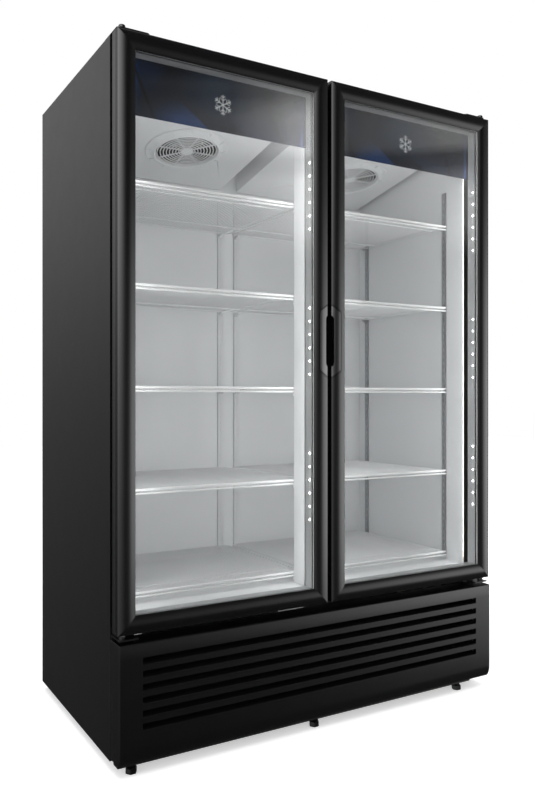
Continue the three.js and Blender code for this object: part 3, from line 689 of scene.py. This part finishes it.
def build_inner_trim(door):
    """The fluted aluminium trim that lines the frame behind the glass."""
    front = door.glass_back + 1 * MM
    flutes = 5
    pitch = (PROFILE_BACK - front - 4 * MM) / flutes
    outer = BACK_WIDTH + 0.2 * MM
    bottom_of_flute = TRIM_INSET - 0.5 * MM
    section = [(outer, front), (TRIM_INSET, front)]
    for i in range(flutes):
        start = front + 2 * MM + i * pitch
        section += [
            (TRIM_INSET, start),
            (bottom_of_flute, start + 0.8 * MM),
            (bottom_of_flute, start + pitch - 1.6 * MM),
            (TRIM_INSET, start + pitch - 0.8 * MM),
        ]
    section += [(TRIM_INSET, PROFILE_BACK), (outer, PROFILE_BACK)]
    parts = ["led_hinge_side", "led_meeting_side"]
    door.build(door.ring(section), "trim", "led_profile", parts, crease=25)


LED_GROUPS = 3
LED_GROUP_PITCH = 452 * MM
LEDS = 6
LED_PITCH = 41.2 * MM
LED_DEPTH = 30 * MM


def build_lamps(door):
    """Three boards with six lamps each, on each stile."""
    boards, lenses = Shape(), Shape()
    middle = (door.z_span[0] + door.z_span[1]) / 2
    y = door.front + LED_DEPTH
    half = (LEDS - 1) * LED_PITCH / 2 + 12 * MM
    dome = mm((0, -0.3), (3.6, -0.3), (3.6, 0.5))
    dome += [(r, z + 0.5 * MM) for r, z in arc((0, 0), 3 * MM, 0, 90, 5)]
    for edge, toward in door.stiles:
        x = edge + toward * TRIM_INSET
        face = x + toward * 1 * MM
        turn = Matrix.Rotation(toward * pi / 2, 4, "Y")
        for group in range(LED_GROUPS):
            z = middle + (group - (LED_GROUPS - 1) / 2) * LED_GROUP_PITCH
            xs = sorted((x - toward * 0.4 * MM, face))
            boards.box((xs[0], y - 6.5 * MM, z - half), (xs[1], y + 6.5 * MM, z + half))
            for i in range(LEDS):
                lamp_z = z + (i - (LEDS - 1) / 2) * LED_PITCH
                lenses.turned(dome, 12, moved((face, y, lamp_z)) @ turn)
    door.build(boards, "lamp_boards", "circuit_board", bevel=0.3 * MM)
    door.build(lenses, "lamp_lenses", "led_glow")


def build_gasket(door):
    """A bellows seal: a retaining foot, two folds and a magnet pocket."""
    low, high = door.box("gasket")
    inset = low.x - door.x_span[0]
    width = 15 * MM
    start, depth = low.y - door.front, high.y - low.y
    # How far each fold stands in from the seal's edge, and its share of the seal's depth.
    folds = [(0, 0), (2.2, 0.18), (0.4, 0.34), (2.2, 0.5), (0.2, 0.66), (0, 0.98), (1, 1)]
    section = [(inset + x * MM, start + share * depth) for x, share in folds]
    section += [(inset + width - x * MM, start + share * depth) for x, share in reversed(folds)]
    door.build(door.ring(section), "seal", "gasket_rubber", ["gasket"], crease=50)


def build_door(side):
    door = Door(side)
    build_door_frame(door)
    build_door_handle(door)
    build_glazing(door)
    build_graphic_band(door)
    build_inner_trim(door)
    build_lamps(door)
    build_gasket(door)


# ---- Shelves and their supports ----

LEVELS = range(1, 6)
FINE_WIRE = 1.5 * MM
RIM_WIRE = 2.5 * MM
FRONT_RAIL = 2.8 * MM
WIRE_PITCH = 11.2 * MM


def shelf_mesh():
    """A wire shelf round its own middle, with its top at z = 0 and its front edge folded down."""
    low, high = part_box("shelf_left_1")
    half_x = (high.x - low.x) / 2
    half_y = (high.y - low.y) / 2
    drop = high.z - low.z
    shape = Shape()
    wire_z = -FINE_WIRE
    rim_z = wire_z - FINE_WIRE - RIM_WIRE
    edge_x, edge_y = half_x - RIM_WIRE, half_y - RIM_WIRE
    corner = 14 * MM
    rim = rounded_rectangle((-edge_x, edge_x), (-edge_y, edge_y), corner)
    shape.tube([(x, y, rim_z) for x, y in rim], RIM_WIRE, closed=True)
    for y in (-0.7 * half_y, 0.6 * half_y):
        shape.tube([(-edge_x, y, rim_z), (edge_x, y, rim_z)], RIM_WIRE)
    front = -half_y + FRONT_RAIL
    low_rail = -drop + FRONT_RAIL
    ends = half_x - FRONT_RAIL
    for z in (low_rail, wire_z - FRONT_RAIL + FINE_WIRE):
        shape.tube([(-ends, front, z), (ends, front, z)], FRONT_RAIL)
    count = int((2 * edge_x - 2 * corner) / WIRE_PITCH)
    bend = 4 * MM
    fold = front + FRONT_RAIL + FINE_WIRE * 0.6
    for i in range(count + 1):
        x = (i - count / 2) * WIRE_PITCH
        curve = [(x, fold + bend - dy, wire_z - bend + dz) for dy, dz in arc((0, 0), bend, 90, 0, 3)]
        path = [(x, half_y - RIM_WIRE * 0.6, wire_z)] + curve + [(x, fold, low_rail - FINE_WIRE)]
        shape.tube(path, FINE_WIRE, sides=6)
    return shape.mesh("wire_shelf", crease=60)


def build_shelves():
    mesh = shelf_mesh()
    mesh.materials.append(MATERIALS["white_wire"])
    for side in SIDES:
        for level in LEVELS:
            node = f"shelf_{side}_{level}"
            low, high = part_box(node)
            piece = new_object(f"wire_shelf_{side}_{level}", mesh)
            piece.location = ((low.x + high.x) / 2, (low.y + high.y) / 2, high.z)
            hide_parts(node)
            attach(piece, node)


SLOT_PITCH = 25 * MM
SLOT_HEIGHT = 12 * MM
SLOT_WIDTH = 4 * MM
CLIP_HEIGHT = 12 * MM


def slotted_strip(shape, width, z_span, thickness, place):
    """A pressed channel with a row of slots. It lies in its own XZ plane, with its face at y = 0."""
    z0, z1 = z_span
    zs = [z0]
    for i in range(int((z1 - z0) / SLOT_PITCH)):
        z = z0 + (i + 0.5) * SLOT_PITCH
        zs += [z - SLOT_HEIGHT / 2, z + SLOT_HEIGHT / 2]
    zs.append(z1)
    xs = [-width / 2, -SLOT_WIDTH / 2, SLOT_WIDTH / 2, width / 2]
    sheet = 1.2 * MM
    front, back = [[(y, z) for z in zs] for y in (0, sheet)]
    shape.pierced_sheet(xs, front, back, lambda i, j: i == 1 and j % 2 == 1, place)
    for x in (-width / 2, width / 2 - sheet):
        shape.box((x, 0, z0), (x + sheet, thickness, z1), place)


def shelf_clip(shape, width, reach, top, place):
    """A bent clip hooked into the strip, with its ledge reaching out under the shelf."""
    sheet = 1.6 * MM
    hook = 1 * MM
    bottom = top - CLIP_HEIGHT
    outline = [(hook, bottom), (-sheet, bottom), (-reach, top - sheet * 1.5), (-reach, top), (hook, top)]
    shape.prism(outline, (-width / 2, width / 2), "x", place)


def build_pilaster(name, node, material="zinc"):
    low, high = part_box(node)
    centre = (low + high) / 2
    thickness = 5 * MM
    if "back" in node:
        width, reach = high.x - low.x, high.y - low.y - thickness
        place = moved((centre.x, high.y - thickness, 0))
    else:
        width, reach = high.y - low.y, high.x - low.x - thickness
        wall = copysign(1, centre.x)
        wall_x = high.x if wall > 0 else low.x
        turn = Matrix.Rotation(-wall * pi / 2, 4, "Z")
        place = moved((wall_x - wall * thickness, centre.y, 0)) @ turn
    shape = Shape()
    slotted_strip(shape, width, (low.z, high.z), thickness, place)
    for level in LEVELS:
        shelf_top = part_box(f"shelf_left_{level}")[1].z
        shelf_clip(shape, width - 6 * MM, reach, shelf_top - 8.3 * MM, place)
    shape.build(name, material, [node])


def build_supports():
    for side in SIDES:
        for end in ("front", "rear"):
            build_pilaster(f"wall_strip_{end}_{side}", f"{side}_wall_pilaster_{end}")
        build_pilaster(f"back_strip_{side}", f"{side}_back_pilaster", "white_liner")


# ---- Evaporator fans ----

# The guard's sizes are in millimetres.
GUARD_RADIUS = 142
GUARD_OPENING = 106
GUARD_CREST = GUARD_OPENING + 5
GUARD_VALLEY = GUARD_RADIUS - 12
GUARD_RIM = 13  # how far the rim stands below the cover
GUARD_HUB = 22
FAN_ABOVE_COVER = 48 * MM


def around(place, count, start=0.0):
    """A place turned about its own Z, once for each of a number of equal steps."""
    return [place @ Matrix.Rotation(2 * pi * (i + start) / count, 4, "Z") for i in range(count)]


def build_fan_guard(side):
    """A moulded guard: a rim with a valley round it, ribs across the valley, and a grid of flat rings."""
    place = joint_frame(f"evaporator_fan_{side}_spin", -FAN_ABOVE_COVER)
    collar = GUARD_OPENING + 3
    flange = [(GUARD_OPENING, 14), (collar, 14), (collar, -0.4), (GUARD_RADIUS, -0.4)]
    flange += arc((GUARD_RADIUS - 3, -2), 3, 0, -90, 4)
    flange += [(GUARD_VALLEY + 4, -3.4), (GUARD_VALLEY, -3), (GUARD_VALLEY - 5, -4.5)]
    flange += arc((GUARD_CREST, 5 - GUARD_RIM), 5, -20, -180, 7)
    guard = Shape().turned(mm(*flange), 64, place)
    build_guard_ribs(guard, place)
    build_guard_grid(guard, place)
    guard.build(f"fan_guard_ring_{side}", "white_liner", [f"fan_guard_{side}"], crease=40)
    build_fan_motor(side, place)


def build_guard_ribs(guard, place):
    outline = mm(
        (GUARD_CREST + 2, -1),
        (GUARD_CREST + 2, 3 - GUARD_RIM),
        (GUARD_VALLEY, 6 - GUARD_RIM),
        (GUARD_RADIUS - 3, -5.4),
        (GUARD_RADIUS - 1, -3.5),
        (GUARD_RADIUS - 1, -1),
    )
    for turn in around(place, 12, 0.5):
        guard.prism(outline, (-3.5 * MM, 3.5 * MM), "y", turn)


def build_guard_grid(guard, place):
    rings = 8
    pitch = (GUARD_OPENING - GUARD_HUB) / rings
    width = 0.3 * pitch
    for i in range(rings):
        inner = GUARD_HUB + (i + 0.55) * pitch - width / 2
        section = [(inner, -6), (inner, -8.6), (inner + 0.6, -9.2)]
        section += [(2 * inner + width - r, z) for r, z in reversed(section)]
        guard.turned(mm(*section), 48, place)
    hub = GUARD_HUB - 3
    spoke = mm((hub, -1.6, -7), (GUARD_OPENING + 1, 1.6, -3))
    for turn in around(place, 8):
        guard.box(*spoke, turn)
    cap = mm((0, -9.6), (hub, -9.6), (GUARD_HUB, -8.4), (GUARD_HUB, -3.5), (0, -3.5))
    guard.turned(cap, 32, place)


def build_fan_motor(side, place):
    """The motor on its four arms, inside a black drum that rings the blades."""
    motor = Shape()
    can = mm((0, -3), (30, -3), (33, 0), (33, 26), (28, 30), (0, 30))
    motor.turned(can, 32, place)
    motor.turned(mm((0, 29), (4, 29), (4, 59), (0, 60)), 16, place)
    drum = GUARD_OPENING - 3
    motor.turned(mm((drum, 1), (drum + 1.5, 1), (drum + 1.5, 62), (drum, 62)), 48, place)
    arm = mm((28, -5, 2), (drum + 1, 5, 5))
    for turn in around(place, 4, 0.5):
        motor.box(*arm, turn)
    motor.build(f"fan_motor_{side}", "black_plastic")


def build_fan(name, body, radius, hub, width, material):
    """A moulded fan: a dished hub and five swept, twisted blades."""
    place = joint_frame(f"{body}_spin")
    fan = Shape()
    bore = 4.5 * MM
    half = width / 2
    hub_profile = [(bore, -half), (hub * 0.85, -half), (hub, -half * 0.7), (hub, half), (bore, half)]
    fan.turned(hub_profile, 32, place)
    stations = 7
    blade = [blade_section(i / stations, radius, hub * 0.94) for i in range(stations + 1)]
    for turn in around(place, 5):
        fan.loft(blade, place=turn)
    fan.build(name, material, [body], body)


def blade_section(share, radius, root):
    """A ring of points round a fan blade, at a share of the way from its root to its tip."""
    r = root + (radius - root) * share
    chord = radius * (0.42 + 0.42 * sin(pi * min(1, share * 0.75 + 0.1)))
    pitch = radians(38 - 18 * share)
    sweep = 0.35 * share * share
    chord_points = 6
    upper, lower = [], []
    for c in range(chord_points + 1):
        t = c / chord_points - 0.5
        camber = 0.06 * chord * (1 - 4 * t * t)
        thickness = 1.1 * MM * (1 - (2 * t) ** 4) + 0.25 * MM
        angle = sweep + t * chord * cos(pitch) / r
        for side, sign in ((upper, 1), (lower, -1)):
            z = -t * chord * sin(pitch) * 0.55 + camber + sign * thickness
            side.append((r * cos(angle), r * sin(angle), z))
    return upper + lower[::-1]


def build_fans():
    for side in SIDES:
        body = f"evaporator_fan_{side}"
        build_fan(f"fan_blades_{side}", body, 98 * MM, 20 * MM, 22 * MM, "grey_plastic")
        build_fan_guard(side)
    build_fan("condenser_fan_blades", "condenser_fan", 120 * MM, 24 * MM, 18 * MM, "aluminium")


# ---- Front grille ----

SLOTS_IN_GRILLE = 6
GRILLE_SHEET = 2 * MM


def grille_line(low, depth):
    """The grille's curved bottom at a depth into its sheet, as (y, z) points."""
    rise, run = 42 * MM, 20 * MM
    steps = 12
    curve = []
    for i in range(steps + 1):
        turn = (1 - i / steps) * pi / 2
        y = low.y + run - (run - depth) * cos(turn)
        z = low.z + rise - (rise - depth) * sin(turn)
        curve.append((y, z))
    return curve


def build_grille():
    """A folded steel front: curved under at the bottom, turned back at the top, with six lipped slots."""
    low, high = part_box("front_grille")
    half = high.x
    slot_half = 622 * MM
    slot_pitch = 35.8 * MM
    slot_height = 18 * MM
    first_slot = BASE + 99.5 * MM
    slots = [first_slot + i * slot_pitch for i in range(SLOTS_IN_GRILLE)]
    curve_rows = len(grille_line(low, 0))
    fold = 3 * MM

    def side_view(depth):
        """(y, z) points at a depth into the sheet: up the curve and the front, then back along the top."""
        line = grille_line(low, depth)
        for z in slots:
            line += [(low.y + depth, z), (low.y + depth, z + slot_height)]
        line += arc((low.y + fold, high.z - fold), fold - depth, 180, 90, 4)
        return line + [(high.y, high.z - depth)]

    def in_slot(column, row):
        row -= curve_rows
        return column == 1 and 0 <= row < 2 * SLOTS_IN_GRILLE and row % 2 == 0

    columns = [-half, -slot_half, slot_half, half]
    shape = Shape().pierced_sheet(columns, side_view(0), side_view(GRILLE_SHEET), in_slot)
    for z in slots:
        shape.prism(slot_lip(low.y, z), (-slot_half + 1 * MM, slot_half - 1 * MM), "x")
    cheek = grille_line(low, GRILLE_SHEET + 0.2 * MM)
    top = high.z - GRILLE_SHEET - 0.2 * MM
    back = FRONT - 1 * MM
    cheek += [(cheek[-1][0], top), (high.y, top), (high.y, BASE + 300 * MM)]
    cheek += [(back, BASE + 277 * MM), (back, low.z)]
    for x in (-half + 0.4 * MM, half - 2.4 * MM):
        shape.prism(cheek, (x, x + GRILLE_SHEET), "x")
    nodes = ["front_grille"]
    panel = shape.build("grille_panel", "grille_coat", nodes, bevel=0.9 * MM, crease=30)


def slot_lip(front, z):
    """The tongue under a slot: it slopes up and inwards from a rounded edge."""
    edge = arc((front + 1.4 * MM, z - 1.4 * MM), 1.4 * MM, 200, 60, 5)
    return edge + [(front + y, z + rise) for y, rise in mm((20, 12), (20, 10), (2.2, -3))]


# ---- Feet ----


def build_foot(node):
    """A hexagonal foot on a threaded stud."""
    low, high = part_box(node)
    centre = (low + high) / 2
    place = moved((centre.x, centre.y, 0))
    foot = Shape().turned(mm((0, 0), (15, 0), (16.5, 1.5), (16.5, 15), (14.5, 17), (0, 17)), 6, place)
    root, crest = 5 * MM, 6 * MM
    pitch = 2 * MM
    z = 16 * MM
    thread = [(0, z)]
    while z < high.z - pitch:
        thread += [(root, z), (crest, z + pitch / 2)]
        z += pitch
    thread += [(root, z), (0, z)]
    foot.turned(thread, 20, place)
    foot.build(f"levelling_{node}", "black_plastic", [node], node, crease=30)


def build_feet():
    for body in frame["bodies"]:
        if body.startswith("foot_"):
            build_foot(body)


# ---- Hinge caps, screws and the strip between the doors ----


def screw_head(shape, place):
    """A domed head on its washer, standing on the XY plane of its place."""
    radius, foot, height = 5, 0.7, 2.4
    profile = [(0, 0), (7.25, 0), (7.25, 0.6), (radius, foot)]
    for share in (0.35, 0.65, 0.85):
        profile.append((radius * sqrt(1 - share * share), foot + share * (height - foot)))
    shape.turned(mm(*profile, (0, height)), 16, place)


def build_hinge_caps(side):
    """A rounded cap over each top pin, and a bright washer round each bottom one."""
    pin_x, pin_y, _ = JOINTS[f"door_{side}_swing"]["pos_m"]
    radius, dome = 9.5, 4
    bottom, top = -5.5, 3  # from the hinge's top
    profile = [(0, bottom), (radius, bottom), *arc((radius - dome, top - dome), dome, 0, 90, 5), (0, top)]
    cap = Shape()
    hinge_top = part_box(f"top_hinge_{side}")[1].z
    cap.turned(mm(*profile), 32, moved((pin_x, pin_y, hinge_top)))
    cap.build(f"hinge_cap_{side}", "black_plastic")
    bore, edge = 9.2, 12.5
    ring = mm((bore, -4), (edge - 0.6, -4), (edge, -3.4), (edge, -2.2), (bore, -1.6))
    door_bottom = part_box(f"{side}_door_frame")[0].z
    washer = Shape().turned(ring, 32, moved((pin_x, pin_y, door_bottom)))
    washer.build(f"hinge_washer_{side}", "steel_screw")


def build_mullion_strip():
    """The black strip down the middle of the cabinet's front, between the two seals."""
    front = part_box("center_mullion")[0].y
    low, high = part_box("left_door_gasket")
    half = -high.x - 1 * MM
    base, step, face = front - 0.1 * MM, front - 2 * MM, front - 4 * MM
    slope = half - 3 * MM
    section = [(-half, base), (half, base), (half, step), (slope, face), (-slope, face), (-half, step)]
    strip = Shape().prism(section, (low.z, high.z))
    strip.build("mullion_strip", "gasket_rubber")


def build_rear_screws():
    """A ring of screws round the rear sheet's edge."""
    low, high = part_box("rear_panel")
    inset = 16 * MM
    facing_back = Matrix.Rotation(-pi / 2, 4, "X")
    rows, columns = 7, 5
    heads = Shape()
    for row in range(rows):
        z = low.z + inset + row * (high.z - low.z - 2 * inset) / (rows - 1)
        for column in range(columns):
            x = low.x + inset + column * (high.x - low.x - 2 * inset) / (columns - 1)
            if row % (rows - 1) == 0 or column % (columns - 1) == 0:
                screw_head(heads, moved((x, high.y, z)) @ facing_back)
    heads.build("rear_screws", "black_screw")


# ---- Compressor and dial ----


def build_compressor():
    """A drawn can with a welded seam on its foot plate, with rubber grommets and two copper pipes."""
    low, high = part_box("compressor")
    place = moved(((low.x + high.x) / 2, (low.y + high.y) / 2, low.z))
    foot_x, foot_y = (high.x - low.x) / 2, 80 * MM
    can = Shape().turned(mm(*can_profile()), 64, place)
    outline = rounded_rectangle((-foot_x, foot_x), (-foot_y, foot_y), 16 * MM)
    can.prism(outline, (4 * MM, 7 * MM), place=place)
    terminal_cover = mm((-26, -CAN_RADIUS - 6, 50), (26, -CAN_RADIUS + 14, 104))
    can.box(*terminal_cover, place)
    can.build("compressor_shell", "compressor_paint", ["compressor"], bevel=1.2 * MM)
    rubber = mm((0, 0), (11, 0), (11, 5), (8, 8), (11, 11), (9, 14), (0, 14))
    inset = 16 * MM
    grommets = Shape()
    for x in (-foot_x + inset, foot_x - inset):
        for y in (-foot_y + inset, foot_y - inset):
            grommets.turned(rubber, 24, place @ moved((x, y, 0)))
    grommets.build("compressor_grommets", "gasket_rubber")
    pipes = Shape()
    for x, y in ((60, 0), (-40, 40)):
        path = mm((x, y, 130), (x, y, 205), (x * 1.04, y, 212), (x * 1.12, y, 216), (x * 1.5, y, 216))
        pipes.tube([place @ Vector(p) for p in path], 5 * MM, sides=12)
    pipes.build("compressor_pipes", "copper")


CAN_RADIUS = 88  # mm


def can_profile():
    """The compressor can's (radius, height) points, in millimetres: a round foot, a seam and a crown."""
    lift = 12  # how far the can is raised above the underside of its grommets
    height = 176
    seam = 0.45 * height
    wall, seam_edge = CAN_RADIUS - 1, CAN_RADIUS + 3
    foot, foot_bend = 66, 22
    crown, crown_start, crown_bend = 26, 116, 59
    profile = [(0, 2), (foot, 2), *arc((foot, 2 + foot_bend), foot_bend, 270, 350, 6)]
    profile += [(wall, seam - 6), (seam_edge, seam - 3), (seam_edge, seam + 3), (wall, seam + 6)]
    profile += [(CAN_RADIUS - 3, crown_start + 4), *arc((crown, crown_start), crown_bend, 5, 88, 9)]
    profile.append((0, height))
    return [(radius, z + lift) for radius, z in profile]


def build_dial():
    """A fluted knob with a raised pointer, on its spindle."""
    place = joint_frame("temperature_knob_turn")
    radius = 18.6
    flutes = 12
    sides = flutes * 6
    # Height, share of the radius, and how deep the flutes are cut there.
    levels = [(-20, 0.86, 0), (-19.2, 0.92, 0.5), (-17, 0.95, 1), (-7, 0.97, 1), (-5.5, 1, 0), (-0.4, 1, 0)]
    rings = []
    for z, share, cut in levels:
        ring = []
        for i in range(sides):
            a = 2 * pi * i / sides
            r = radius * share - cut * 0.7 * (1 + cos(flutes * a))
            ring.append((r * cos(a), r * sin(a), z))
        rings.append(mm(*ring))
    dial = Shape().loft(rings, place=place)
    dial.box(*mm((-1.6, 2, -21.5), (1.6, 0.8 * radius, -19)), place)
    dial.turned(mm((0, -1), (3.9, -1), (3.9, 12), (3.3, 13), (0, 13)), 20, place)
    body = "temperature_knob"
    dial.build("thermostat_dial", "black_plastic", [body], body, bevel=0.3 * MM)


# ---- Stage, lights and camera ----

CAMERA_PLACE = Vector((-1.4083, -2.3862, 1.0277))
CAMERA_HEADING = 30.6  # degrees towards +X from +Y
CAMERA_LENS = 35.15
CAMERA_SHIFT = -0.0035

AMBIENT = 0.6  # what matt surfaces get from all round

# What glossy surfaces see: soft panels, each a level that follows the heading times one that follows the
# elevation. Headings are in degrees from -Y towards +X.
SATIN_PANELS = {
    "front and right": (
        [(-180, 0), (5, 0), (12, 0.1), (22, 0.22), (26, 0.3), (29, 0.5), (33, 0.7), (37, 1.4), (41, 2.1),
         (46, 2.7), (60, 3), (71, 3.2), (77, 2.6), (81, 1.5), (84, 0.5), (92, 0.3), (105, 1.5),
         (130, 1.2), (155, 0.4), (180, 0)],
        [(-90, 0), (-40, 0.01), (-26, 0.02), (-22, 0.03), (-19, 0.06), (-17, 0.18), (-15.5, 0.42),
         (-14, 0.62), (-11, 0.85), (-8, 1), (0, 1), (4, 0.85), (7, 0.68), (10, 0.4), (14, 0.14),
         (18, 0.05), (24, 0.03), (60, 0), (90, 0)],
    ),
    "left": (
        [(-180, 0), (-145, 0), (-127, 1.2), (-100, 3), (-70, 4.8), (-32, 4.9), (-21, 4.3), (-10, 3),
         (1, 1.25), (8, 0.4), (13, 0.12), (18, 0), (180, 0)],
        [(-90, 0), (-50, 0.02), (-22, 0.13), (-14, 0.17), (-7, 0.25), (0, 0.38), (3, 0.5), (7, 0.63),
         (10, 0.77), (16, 0.93), (20, 1), (35, 1), (60, 0.2), (90, 0)],
    ),
    "rear left": (
        [(-180, 0.35), (-163, 0.5), (-150, 0.6), (-135, 0.5), (-115, 0), (150, 0), (180, 0.35)],
        [(-90, 0), (-24, 0), (-18, 0.03), (-14, 0.07), (-7, 0.14), (0, 0.25), (3, 0.35), (7, 0.48),
         (10, 0.63), (16, 0.85), (20, 0.97), (35, 1), (60, 0.2), (90, 0)],
    ),
    "overhead": ([(-180, 1), (180, 1)], [(-90, 0), (60, 0), (72, 1), (90, 2.2)]),
}
GLASS_PANELS = {
    "high": (
        [(-180, 0), (18, 0), (22, 0.15), (28, 0.35), (31, 1.1), (33, 2.2), (34.5, 2.2), (35.5, 0.25),
         (40, 0.4), (44, 0.9), (50, 1.2), (70, 0), (180, 0)],
        [(-90, 0), (10, 0), (12, 0.5), (15.8, 0.8), (16.2, 0.3), (16.9, 0.3), (17.2, 0.9), (18, 1),
         (20.2, 1), (20.6, 0.45), (21.8, 0.45), (22.2, 0.12), (32, 0), (90, 0)],
    ),
}


def make_world():
    """White to the camera, even light to matt surfaces, and soft panels to satin ones and to the glass."""
    world = bpy.data.worlds.new("studio")
    bpy.context.scene.world = world
    world.cycles.sampling_method = "NONE"  # so that each kind of ray gets its own light
    nodes = Nodes(world)
    path = nodes.add("ShaderNodeLightPath").outputs
    satin = studio_panels(nodes, SATIN_PANELS, 0.04)
    mirror = studio_panels(nodes, GLASS_PANELS, 0.05)
    glossy = nodes.mix(path["Is Singular Ray"], satin, mirror)
    light = nodes.mix(path["Is Glossy Ray"], (AMBIENT,) * 3, glossy)
    seen = nodes.mix(path["Is Camera Ray"], light, (1, 1, 1))
    nodes.feed(nodes.tree.nodes["Background"].inputs["Color"], seen)


def studio_panels(nodes, panels, between):
    """How bright the studio is in each direction: the panels, on a dim level between them."""
    axes = nodes.axes(nodes.add("ShaderNodeTexCoord").outputs["Generated"])
    backwards = nodes.math("MULTIPLY", axes["Y"], -1.0)
    heading = nodes.math("DEGREES", nodes.math("ARCTAN2", axes["X"], backwards))
    elevation = nodes.math("DEGREES", nodes.math("ARCSINE", axes["Z"]))
    total = between
    for by_heading, by_elevation in panels.values():
        across, up = nodes.graded(heading, by_heading), nodes.graded(elevation, by_elevation)
        total = nodes.math("ADD", nodes.math("MULTIPLY", across, up), total)
    return total


def make_floor():
    mesh = bpy.data.meshes.new("floor")
    reach = 14
    corners = [(x * reach, y * reach, 0) for x, y in ((-1, -1), (1, -1), (1, 1), (-1, 1))]
    mesh.from_pydata(corners, [], [(0, 1, 2, 3)])
    floor = new_object("floor", mesh)
    nodes = new_material("floor_paint")
    lift = nodes.math("MULTIPLY", nodes.add("ShaderNodeLightPath").outputs["Is Camera Ray"], 0.5)
    nodes.set(Base_Color=(0.9, 0.9, 0.9), Roughness=0.9, Specular_IOR_Level=0.1)
    nodes.set(Emission_Color=(1, 1, 1), Emission_Strength=lift)
    mesh.materials.append(MATERIALS["floor_paint"])
    floor.visible_glossy = False


def softbox(name, place, target, width, height, power):
    """A soft light that only matt surfaces answer to; the world gives the glossy ones their light."""
    light = bpy.data.lights.new(name, "AREA")
    light.shape = "RECTANGLE"
    light.size = width
    light.size_y = height
    light.energy = power
    lamp = new_object(name, light)
    lamp.location = place
    direction = Vector(target) - Vector(place)
    lamp.rotation_euler = direction.to_track_quat("-Z", "Y").to_euler()
    lamp.visible_camera = False
    lamp.visible_glossy = False


def make_lights():
    softbox("overhead", (0, -0.5, 5.0), (0, 0, 0), 4.5, 4.5, 160)
    softbox("front_left", (-3.6, -1.8, 1.8), (-0.7, -0.4, 1.2), 0.9, 2.6, 20)
    softbox("right_back", (3.6, 1.2, 1.6), (0.5, -0.4, 1.2), 1.2, 3.0, 50)
    for side in SIDES:
        door = Door(side)
        for edge, toward in door.stiles:
            x = edge + toward * (BACK_WIDTH + 8 * MM)
            place = (x, FRONT - 15 * MM, 1.2)
            target = (x + toward * 0.45, FRONT + 0.45, 1.2)
            softbox(f"bay_{side}_{edge:.1f}", place, target, 0.03, 1.5, 1.3)


def make_camera():
    camera = new_object("camera", bpy.data.cameras.new("camera"))
    bpy.context.scene.camera = camera
    camera.location = CAMERA_PLACE
    camera.rotation_euler = (pi / 2, 0, -radians(CAMERA_HEADING))
    camera.data.lens = CAMERA_LENS
    camera.data.sensor_width = 36
    camera.data.shift_y = CAMERA_SHIFT


def main():
    scene = bpy.context.scene
    scene.view_settings.view_transform = "Standard"
    scene.cycles.transparent_max_bounces = 24
    make_materials()
    finish_kept_nodes()
    for side in SIDES:
        build_door(side)
    build_shelves()
    build_supports()
    build_fans()
    build_grille()
    build_feet()
    for side in SIDES:
        build_hinge_caps(side)
    build_mullion_strip()
    build_rear_screws()
    build_compressor()
    build_dial()
    make_world()
    make_floor()
    make_lights()
    make_camera()


main()
